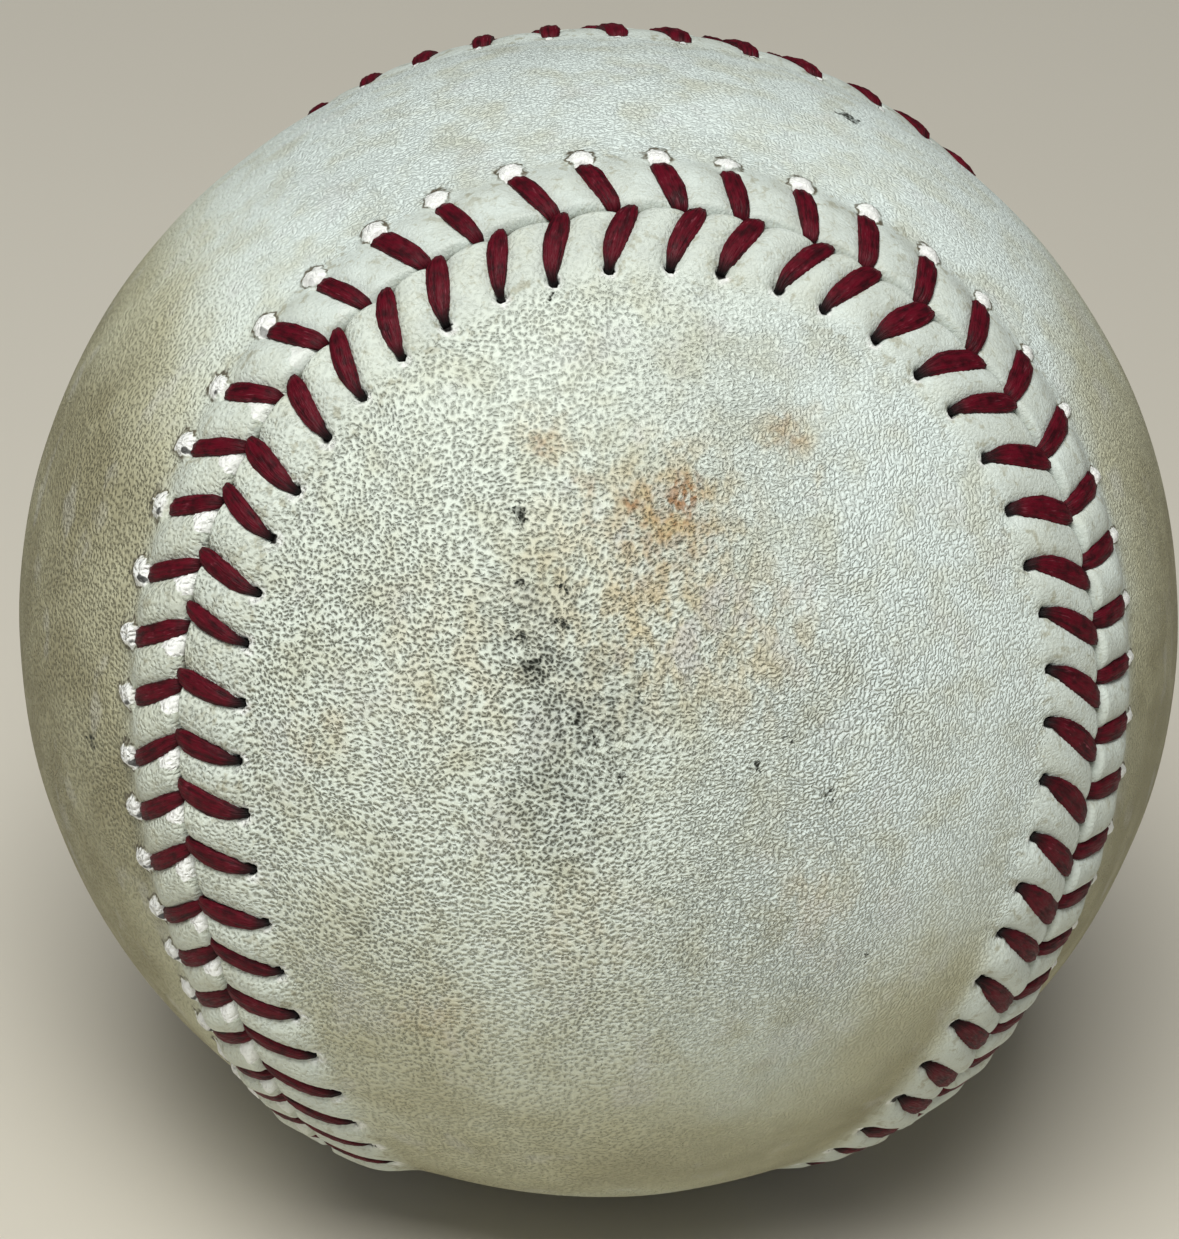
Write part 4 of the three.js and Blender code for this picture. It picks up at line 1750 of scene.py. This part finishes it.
@dataclass
class CoverPanel:
    """One figure-eight leather panel, drawn in from its sewn edge."""

    side: Side
    relief: HideRelief
    node: str
    name: str
    columns_per_stitch: int = 16
    join_columns: int = 3
    slit: float = 0.05
    # Where each run of rings starts and ends, in millimetres from the seam, and how many it has
    ring_runs: tuple[tuple[float, float, int], ...] = (
        (0.05, 0.95, 6),
        (0.95, 3.35, 8),
        (3.35, 5.75, 13),
        (5.75, 9.0, 7),
    )
    middle_cuts: int = 56
    flesh_insets: tuple[float, ...] = (2.0, 4.4, 6.6, 9.0)
    flesh_columns: int = 192
    undulation: float = 0.07
    undulation_scale: float = 0.16
    POINT_VALUES: ClassVar[tuple[str, ...]] = ("inset", "stitch_sine", "stitch_cosine", "tear", "flesh")
    FAR_INSET: ClassVar[float] = 20.0

    def build(self, material: bpy.types.Material) -> bpy.types.Object:
        """Builds and places the panel.

        Args:
            material: The leather.

        Returns:
            The panel.
        """
        shaper = bmesh.new()
        layers = {name: shaper.verts.layers.float.new(name) for name in self.POINT_VALUES}
        rings = self._band(shaper, layers)
        grain_ring = self._thin_out(shaper, rings[-1])
        flesh_ring = self._flesh(shaper, rings[0], layers)
        rungs = self._bridge(shaper, grain_ring) + self._bridge(shaper, flesh_ring)
        self._cut(shaper, rungs, layers["flesh"])
        bmesh.ops.recalc_face_normals(shaper, faces=shaper.faces)
        return Piece.place(self.name, shaper, material, self.node, "cowhide")

    def _insets(self) -> np.ndarray:
        """Returns the rings' distances from the seam, closest at the cut edge and the holes."""
        places = [np.linspace(a, b, n, endpoint=False) for a, b, n in self.ring_runs]
        return np.concatenate([*places, [self.ring_runs[-1][1]]])

    def _shares(self, columns: int) -> np.ndarray:
        """Returns the columns' shares of the seam's length."""
        return (np.arange(columns) + 0.5) / columns

    def _undulate(self, points: np.ndarray) -> np.ndarray:
        """Moves points in or out a little, as the yarn beneath shows through.

        Args:
            points: Points in millimetres.

        Returns:
            The moved points.
        """
        waves = np.array([noise.noise(Vector(p) * self.undulation_scale) for p in points])
        lengths = np.linalg.norm(points, axis=1)
        return points * (1 + self.undulation * waves / lengths)[:, None]

    def _band(self, shaper: Shaper, layers: Layers) -> list[Ring]:
        """Makes the band of leather beside the seam from a rolled grid.

        Args:
            shaper: The panel's bmesh.
            layers: The values that are kept on the points.

        Returns:
            The band's rings of points, from the seam inwards.
        """
        columns = self.relief.sizes.stitch_count * self.columns_per_stitch
        insets = self._insets()
        grid = bmesh.ops.create_grid(shaper, x_segments=columns, y_segments=len(insets) - 1, size=1.0)
        verts = grid["verts"]
        wide = columns + 1
        rows = [verts[i * wide:(i + 1) * wide] for i in range(len(insets))]
        bmesh.ops.weld_verts(shaper, targetmap={row[-1]: row[0] for row in rows})
        rings = [row[:-1] for row in rows]
        shares = self._shares(columns)
        for ring, inset in zip(rings, insets):
            phase = self.relief.stitching.phase(self.side, shares, inset)
            radius = self.relief.sizes.radius + self.relief.height(self.side, phase, inset)
            offset = np.full(columns, self.side.value * inset)
            points = self.relief.stitching.seam.point(shares, offset, radius)
            points = self._undulate(points) * MM
            sine, cosine = np.sin(math.tau * phase), np.cos(math.tau * phase)
            tears = self.relief.stitching.tear
            tear = tears[np.rint(phase).astype(int) % len(tears)]
            for i, vert in enumerate(ring):
                vert.co = points[i]
                vert[layers["inset"]] = inset
                vert[layers["stitch_sine"]] = sine[i]
                vert[layers["stitch_cosine"]] = cosine[i]
                vert[layers["tear"]] = tear[i]
        return rings

    def _thin_out(self, shaper: Shaper, ring: Ring) -> Ring:
        """Joins a ring's points in threes, because less detail is needed past it.

        Args:
            shaper: The panel's bmesh.
            ring: The fine ring.

        Returns:
            The points that are left.
        """
        kept = ring[self.join_columns // 2::self.join_columns]
        merged = {}
        for i, vert in enumerate(ring):
            keeper = kept[i // self.join_columns]
            if vert is not keeper:
                merged[vert] = keeper
        bmesh.ops.weld_verts(shaper, targetmap=merged)
        return kept

    def _bridge(self, shaper: Shaper, ring: Ring) -> list[bmesh.types.BMEdge]:
        """Bridges the middle of the panel with rungs from side to side.

        Args:
            shaper: The panel's bmesh.
            ring: The ring to fill.

        Returns:
            The rungs that lie inside the ring.
        """
        count = len(ring)
        start = 0 if self.side is Side.LOWER else count // 4
        ordered = ring[start:] + ring[:start]
        half = count // 2
        right, left = ordered[:half], ordered[half:][::-1]
        chains = [
            shaper.edges.get((a, b)) for chain in (right, left) for a, b in zip(chain, chain[1:])
        ]
        bmesh.ops.bridge_loops(shaper, edges=chains)
        return [shaper.edges.get(pair) for pair in list(zip(right, left))[1:-1]]

    def _cut(self, shaper: Shaper, rungs: list[bmesh.types.BMEdge], flesh: bmesh.types.BMLayerItem) -> None:
        """Cuts the rungs and rounds them to the ball, on the grain side and the flesh side.

        Args:
            shaper: The panel's bmesh.
            rungs: The rungs of both sides.
            flesh: The value that is 1 on the flesh side.
        """
        sizes = self.relief.sizes
        cut = bmesh.ops.subdivide_edges(shaper, edges=rungs, cuts=self.middle_cuts, use_grid_fill=True)
        made = [item for item in cut["geom_inner"] if isinstance(item, bmesh.types.BMVert)]
        points = np.array([vert.co for vert in made])
        behind = np.array([vert[flesh] > 0.5 for vert in made])
        radius = np.where(behind, sizes.radius - sizes.leather, sizes.radius)
        points *= (radius / np.linalg.norm(points, axis=1))[:, None]
        for vert, point in zip(made, self._undulate(points) * MM):
            vert.co = point

    def _flesh(self, shaper: Shaper, rim: Ring, layers: Layers) -> Ring:
        """Adds the panel's cut edge and the flesh side behind it.

        Args:
            shaper: The panel's bmesh.
            rim: The ring at the seam.
            layers: The values that are kept on the points.

        Returns:
            The last ring of the flesh side.
        """
        sizes = self.relief.sizes
        hollow = sizes.radius - sizes.leather
        ring = rim
        for inset in (self.slit, *self.flesh_insets):
            ring = self._extrude(shaper, ring)
            self._set(ring, inset, hollow + self.relief.lift(self.side, inset))
            for vert in ring:
                vert[layers["flesh"]] = 1.0
                vert[layers["inset"]] = self.FAR_INSET
            if len(ring) > self.flesh_columns:
                ring = self._thin_out(shaper, ring)
        return ring

    @staticmethod
    def _extrude(shaper: Shaper, ring: Ring) -> Ring:
        """Extrudes a ring.

        Args:
            shaper: The panel's bmesh.
            ring: The ring.

        Returns:
            The new ring, in the same order.
        """
        edges = [shaper.edges.get(pair) for pair in zip(ring, ring[1:] + ring[:1])]
        made = bmesh.ops.extrude_edge_only(shaper, edges=edges)["geom"]
        fresh = {item for item in made if isinstance(item, bmesh.types.BMVert)}
        found = []
        for vert in ring:
            found.append(next(e.other_vert(vert) for e in vert.link_edges if e.other_vert(vert) in fresh))
        return found

    def _set(self, ring: Ring, inset: float, radius: float) -> None:
        """Puts a ring in its place.

        Args:
            ring: The ring.
            inset: Its distance from the seam.
            radius: Its distance from the ball's centre.
        """
        shares = self._shares(len(ring))
        insets = np.full(len(ring), self.side.value * inset)
        points = self.relief.stitching.seam.point(shares, insets, np.full(len(ring), radius))
        for vert, point in zip(ring, points * MM):
            vert.co = point


@dataclass(frozen=True)
class StitchStep:
    """One section along a stitch: how far along it, its height, and its shares of width and thickness."""

    along: float
    height: float
    width: float
    thickness: float
    hole: float = 0.0


# Sections along one stitch, from where it leaves its hole to where it dives into the seam
LOWER_STITCH = (
    StitchStep(-0.06, -1.25, 0.32, 0.6, 1.0),
    StitchStep(-0.05, -0.6, 0.34, 0.65, 1.0),
    StitchStep(-0.02, -0.16, 0.38, 0.72, 1.0),
    StitchStep(0.07, 0.0, 0.54, 0.85, 0.65),
    StitchStep(0.17, 0.1, 0.78, 0.95, 0.1),
    StitchStep(0.31, 0.16, 1.0, 1.0),
    StitchStep(0.47, 0.2, 1.12, 1.0),
    StitchStep(0.63, 0.22, 1.16, 1.0),
    StitchStep(0.78, 0.22, 1.08, 0.95),
    StitchStep(0.9, 0.19, 0.88, 0.85),
    StitchStep(0.99, 0.08, 0.58, 0.7),
    StitchStep(1.05, -0.18, 0.36, 0.55, 0.3),
    StitchStep(1.07, -0.6, 0.3, 0.5, 0.8),
    StitchStep(1.07, -1.3, 0.32, 0.6, 1.0),
)
UPPER_STITCH = (
    StitchStep(0.02, -1.25, 0.7, 0.7, 1.0),
    StitchStep(0.03, -0.6, 0.76, 0.8, 0.5),
    StitchStep(0.05, -0.18, 0.86, 0.9, 0.1),
    StitchStep(0.1, 0.02, 0.95, 0.95),
    StitchStep(0.2, 0.11, 0.97, 1.0),
    StitchStep(0.34, 0.16, 1.0, 1.0),
    StitchStep(0.48, 0.18, 1.0, 1.0),
    StitchStep(0.62, 0.18, 0.96, 0.95),
    StitchStep(0.75, 0.15, 0.9, 0.9),
    StitchStep(0.85, 0.08, 0.82, 0.85),
    StitchStep(0.93, -0.08, 0.7, 0.75, 0.2),
    StitchStep(0.97, -0.4, 0.5, 0.7, 0.7),
    StitchStep(0.98, -0.9, 0.45, 0.6, 1.0),
    StitchStep(0.98, -1.3, 0.45, 0.6, 1.0),
)
STITCHES = {Side.LOWER: LOWER_STITCH, Side.UPPER: UPPER_STITCH}


@dataclass
class ThreadPath:
    """A thread's sections, in the order in which it is sewn."""

    places: list[float] = field(default_factory=list)
    offsets: list[float] = field(default_factory=list)
    radii: list[float] = field(default_factory=list)
    spans: list[tuple[float, float]] = field(default_factory=list)
    holes: list[float] = field(default_factory=list)

    def add(
        self, place: float, offset: float, radius: float, span: tuple[float, float], hole: float
    ) -> None:
        """Adds one section.

        Args:
            place: Millimetres along the seam.
            offset: Millimetres across it, towards the lower panel.
            radius: The distance from the ball's centre.
            span: The thread's width and thickness.
            hole: How far the section is inside a hole, from 0 to 1.
        """
        self.places.append(place)
        self.offsets.append(offset)
        self.radii.append(radius)
        self.spans.append(span)
        self.holes.append(hole)


@dataclass
class LacingThread:
    """One needle end of the lacing: every other stitch on each panel, joined under the leather."""

    first_side: Side
    relief: HideRelief
    node: str
    name: str
    section_points: int = 28
    strands: int = 7
    strand_relief: float = 0.05
    fray: float = 0.09
    fray_scale: float = 1.6
    strand_turn: float = 0.325
    section_power: float = 0.85
    ridge_rise: float = 2.2
    under_size: float = 0.6
    under_depth: float = 1.45
    under_shares: tuple[float, ...] = (0.15, 0.5, 0.85)

    def build(self, material: bpy.types.Material) -> bpy.types.Object:
        """Builds and places the thread.

        Args:
            material: The thread's finish.

        Returns:
            The thread.
        """
        middles, widths, forwards, holes = self._route()
        travel = lengths_along(middles)
        rings = self._rings(middles, widths, forwards, travel)
        shaper = bmesh.new()
        shaper.verts.layers.float.new("hole_end")
        shaper.loops.layers.uv.new(STRAND_MAP)
        roll_tube(shaper, rings, travel, {"hole_end": holes})
        bmesh.ops.recalc_face_normals(shaper, faces=shaper.faces)
        return Piece.place(self.name, shaper, material, self.node, "red_thread")

    def _route(self) -> tuple[np.ndarray, np.ndarray, np.ndarray, np.ndarray]:
        """Follows the thread through all its stitches.

        Returns:
            The middle points, the widths and thicknesses, the directions of the width, and how far
            each section is inside a hole.
        """
        seam = self.relief.stitching.seam
        count = self.relief.sizes.stitch_count
        path = ThreadPath()
        for number in range(count):
            side = self.first_side if number % 2 == 0 else self.first_side.other
            self._stitch(path, side, number)
            if number + 1 < count:
                self._dive(path, side.other, number + 1)
        shares = np.array(path.places) / seam.length
        middles = seam.point(shares, np.array(path.offsets), np.array(path.radii))
        _, along, _ = seam.axes(shares)
        return middles, np.array(path.spans), along, np.array(path.holes)

    def _stitch(self, path: ThreadPath, side: Side, number: int) -> None:
        """Adds one stitch, from its hole to the seam.

        Args:
            path: The path so far.
            side: The panel that the stitch crosses.
            number: The stitch's number.
        """
        sizes, stitching = self.relief.sizes, self.relief.stitching
        hole_inset = sizes.hole_inset + stitching.hole_across[side][number]
        width_share = stitching.width_share[side][number]
        for step in STITCHES[side]:
            inset = hole_inset * (1 - step.along)
            run = float(stitching.run(side, number, inset))
            run += stitching.lean[side][number] * max(step.along - 1, 0.0)
            radius = sizes.radius + self.relief.lift(side, max(inset, 0.0)) + step.height
            span = (sizes.thread_width * step.width * width_share, sizes.thread_thickness * step.thickness)
            path.add(stitching.place(number) + run, side.value * inset, radius, span, step.hole)

    def _dive(self, path: ThreadPath, side: Side, number: int) -> None:
        """Leads the thread under the leather to the hole of the next stitch.

        Args:
            path: The path so far.
            side: The panel that the next stitch crosses.
            number: The next stitch's number.
        """
        sizes, stitching = self.relief.sizes, self.relief.stitching
        hole = stitching.place(number) + stitching.hole_along[side][number]
        place, offset = path.places[-1], path.offsets[-1]
        radius = sizes.radius - self.under_depth
        span = (sizes.thread_width * self.under_size, sizes.thread_thickness * self.under_size)
        for part in self.under_shares:
            ahead = place + (hole - place) * part
            path.add(ahead, offset + (side.value * sizes.hole_inset - offset) * part, radius, span, 1.0)

    def _rings(
        self, middles: np.ndarray, spans: np.ndarray, forwards: np.ndarray, travel: np.ndarray
    ) -> np.ndarray:
        """Sets a section of strands round every middle point.

        Args:
            middles: The thread's middle points.
            spans: Width and thickness at each.
            forwards: Roughly where the width lies.
            travel: The length up to each point.

        Returns:
            The sections' points.
        """
        heading = np.gradient(middles, axis=0)
        heading /= np.linalg.norm(heading, axis=1, keepdims=True)
        sideways = forwards - heading * np.sum(forwards * heading, axis=1, keepdims=True)
        sideways /= np.linalg.norm(sideways, axis=1, keepdims=True)
        upward = np.cross(sideways, heading)
        turn = np.linspace(0.0, math.tau, self.section_points, endpoint=False)
        across = np.sign(np.cos(turn)) * np.abs(np.cos(turn)) ** self.section_power / 2
        through = np.sign(np.sin(turn)) * np.abs(np.sin(turn)) ** self.section_power / 2
        twist = travel[:, None] * self.strand_turn
        ridge = 1 + self.strand_relief * np.cos(self.strands * (turn[None] + twist))
        wide = spans[:, :1] * across[None] * ridge
        thick = spans[:, 1:] * through[None] * (1 + self.ridge_rise * (ridge - 1))
        across_thread = sideways[:, None] * wide[..., None] + upward[:, None] * thick[..., None]
        rings = middles[:, None] + across_thread
        worn = [noise.noise(Vector(point) * self.fray_scale) for point in rings.reshape(-1, 3)]
        return rings + across_thread * self.fray * np.reshape(worn, (*rings.shape[:2], 1))


# The wound layers, from the pill outwards
GREY_WOOL = YarnFinish("grey_wool_yarn", srgb(158, 155, 149), srgb(92, 90, 86), 4)
WHITE_WOOL = YarnFinish("white_wool_yarn", srgb(234, 228, 214), srgb(170, 162, 146), 3)
COTTON = YarnFinish("finish_cotton_yarn", srgb(240, 234, 218), srgb(186, 178, 158), 2, 1.2)
WINDINGS = (
    YarnWinding(
        "first_winding_grey_wool", "grey_yarn_first", "grey_wool", GREY_WOOL,
        hollow=17.0, radius=31.0, yarn=1.5, turns=220,
    ),
    YarnWinding(
        "second_winding_white_wool", "white_yarn_second", "white_wool", WHITE_WOOL,
        hollow=31.3, radius=32.7, yarn=1.1, turns=240,
    ),
    YarnWinding(
        "third_winding_grey_wool", "grey_yarn_third", "grey_wool", GREY_WOOL,
        hollow=33.0, radius=34.6, yarn=1.1, turns=250,
    ),
    YarnWinding(
        "finish_winding_cotton", "cotton_yarn_finish", "finish_cotton", COTTON,
        hollow=34.9, radius=35.3, yarn=0.32, turns=420,
    ),
)


class Lamp(NamedTuple):
    """A square lamp: its place in metres, its size, power and colour."""

    name: str
    place: Direction
    size: float
    power: float
    colour: Colour


@dataclass(frozen=True)
class Studio:
    """The pale floor, the soft light and the camera."""

    floor_size: float = 3.0
    floor_colour: Colour = srgb(214, 209, 196)
    floor_shade: Colour = srgb(196, 190, 176)
    floor_cloud: Cloud = Cloud(0.02, 3.0, Span(0.3, 0.7, 0.0, 0.06))
    floor_roughness: float = 0.75
    lamps: tuple[Lamp, ...] = (
        Lamp("key_lamp", (-0.1, -0.34, 0.71), 0.45, 6.5, srgb(255, 254, 250)),
        Lamp("fill_lamp", (-0.35, -0.6, 0.3), 0.5, 0.4, srgb(246, 249, 255)),
    )
    sky_colour: Colour = srgb(232, 235, 238)
    sky_strength: float = 0.13
    # The camera's angles in degrees, its distance in metres, and where the ball's centre is in the frame
    azimuth: float = -6.7
    elevation: float = 29.36
    roll: float = 2.97
    distance: float = 0.2857
    focal_pixels: float = 4450.0
    frame_pixels: tuple[int, int] = (1179, 1239)
    ball_pixel: tuple[float, float] = (598.5, 617.0)

    def floor(self, height: float) -> None:
        """Lays the floor.

        Args:
            height: Where the ball touches it.
        """
        shaper = bmesh.new()
        bmesh.ops.create_grid(shaper, x_segments=8, y_segments=8, size=self.floor_size / 2)
        mesh = bpy.data.meshes.new("floor")
        shaper.to_mesh(mesh)
        shaper.free()
        mesh.transform(Matrix.Translation((0.0, 0.0, height)))
        bench = NodeBench("pale_floor")
        shade = bench.cloud(bench.millimetres(), self.floor_cloud)
        bench.dress(bench.blend(shade, self.floor_colour, self.floor_shade), self.floor_roughness)
        mesh.materials.append(bench.material)
        floor = bpy.data.objects.new("floor", mesh)
        bpy.context.scene.collection.objects.link(floor)

    def lights(self) -> None:
        """Hangs the soft lamps and sets an even sky."""
        for lamp in self.lamps:
            self._hang(lamp)
        world = bpy.data.worlds.new("studio_sky")
        bpy.context.scene.world = world
        world.use_nodes = True
        sky = world.node_tree.nodes["Background"]
        sky.inputs["Color"].default_value = self.sky_colour
        sky.inputs["Strength"].default_value = self.sky_strength

    @staticmethod
    def _hang(lamp: Lamp) -> None:
        """Hangs a lamp that faces the ball.

        Args:
            lamp: The lamp.
        """
        data = bpy.data.lights.new(lamp.name, "AREA")
        data.size = lamp.size
        data.energy = lamp.power
        data.color = lamp.colour[:3]
        hung = bpy.data.objects.new(lamp.name, data)
        bpy.context.scene.collection.objects.link(hung)
        hung.location = lamp.place
        hung.rotation_mode = "QUATERNION"
        hung.rotation_quaternion = (-Vector(lamp.place)).to_track_quat("-Z", "Y")

    def camera(self) -> None:
        """Sets the camera at the photograph's angle."""
        turn, rise = math.radians(self.azimuth), math.radians(self.elevation)
        back = Vector(
            (math.sin(turn) * math.cos(rise), -math.cos(turn) * math.cos(rise), math.sin(rise))
        )
        right = back.cross(Vector((0, 0, 1))).normalized() * -1
        up = back.cross(right)
        tilt = math.radians(self.roll)
        right, up = (
            right * math.cos(tilt) + up * math.sin(tilt),
            up * math.cos(tilt) - right * math.sin(tilt),
        )
        data = bpy.data.cameras.new("camera")
        data.sensor_width = 36.0
        data.lens = self.focal_pixels / max(self.frame_pixels) * data.sensor_width
        data.clip_start, data.clip_end = 0.01, 20.0
        data.shift_x = (self.frame_pixels[0] / 2 - self.ball_pixel[0]) / max(self.frame_pixels)
        data.shift_y = (self.ball_pixel[1] - self.frame_pixels[1] / 2) / max(self.frame_pixels)
        camera = bpy.data.objects.new("camera", data)
        bpy.context.scene.collection.objects.link(camera)
        camera.matrix_world = Matrix.Translation(back * self.distance) @ Matrix(
            (right, up, back)
        ).transposed().to_4x4()
        bpy.context.scene.camera = camera


def main() -> None:
    """Builds the ball piece by piece and sets it in the studio."""
    logging.basicConfig(level=logging.INFO, format="%(message)s")
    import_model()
    bpy.context.scene.view_settings.view_transform = "Standard"
    studio = Studio()
    studio.camera()
    sizes = BallSizes()
    Pill().build()
    for winding in WINDINGS:
        winding.build()
    relief = HideRelief(Stitching(SeamLine(sizes)))
    for side in Side:
        panel = side.name.lower()
        hide = HideFinish.of(side).material(relief)
        CoverPanel(side, relief, f"cover_panel_{panel}", f"{panel}_hide").build(hide)
    red = ThreadFinish().material()
    LacingThread(Side.LOWER, relief, "lacing_thread_one", "red_lacing_one").build(red)
    LacingThread(Side.UPPER, relief, "lacing_thread_two", "red_lacing_two").build(red)
    studio.floor(-sizes.radius * MM)
    studio.lights()


if __name__ == "__main__":
    main()
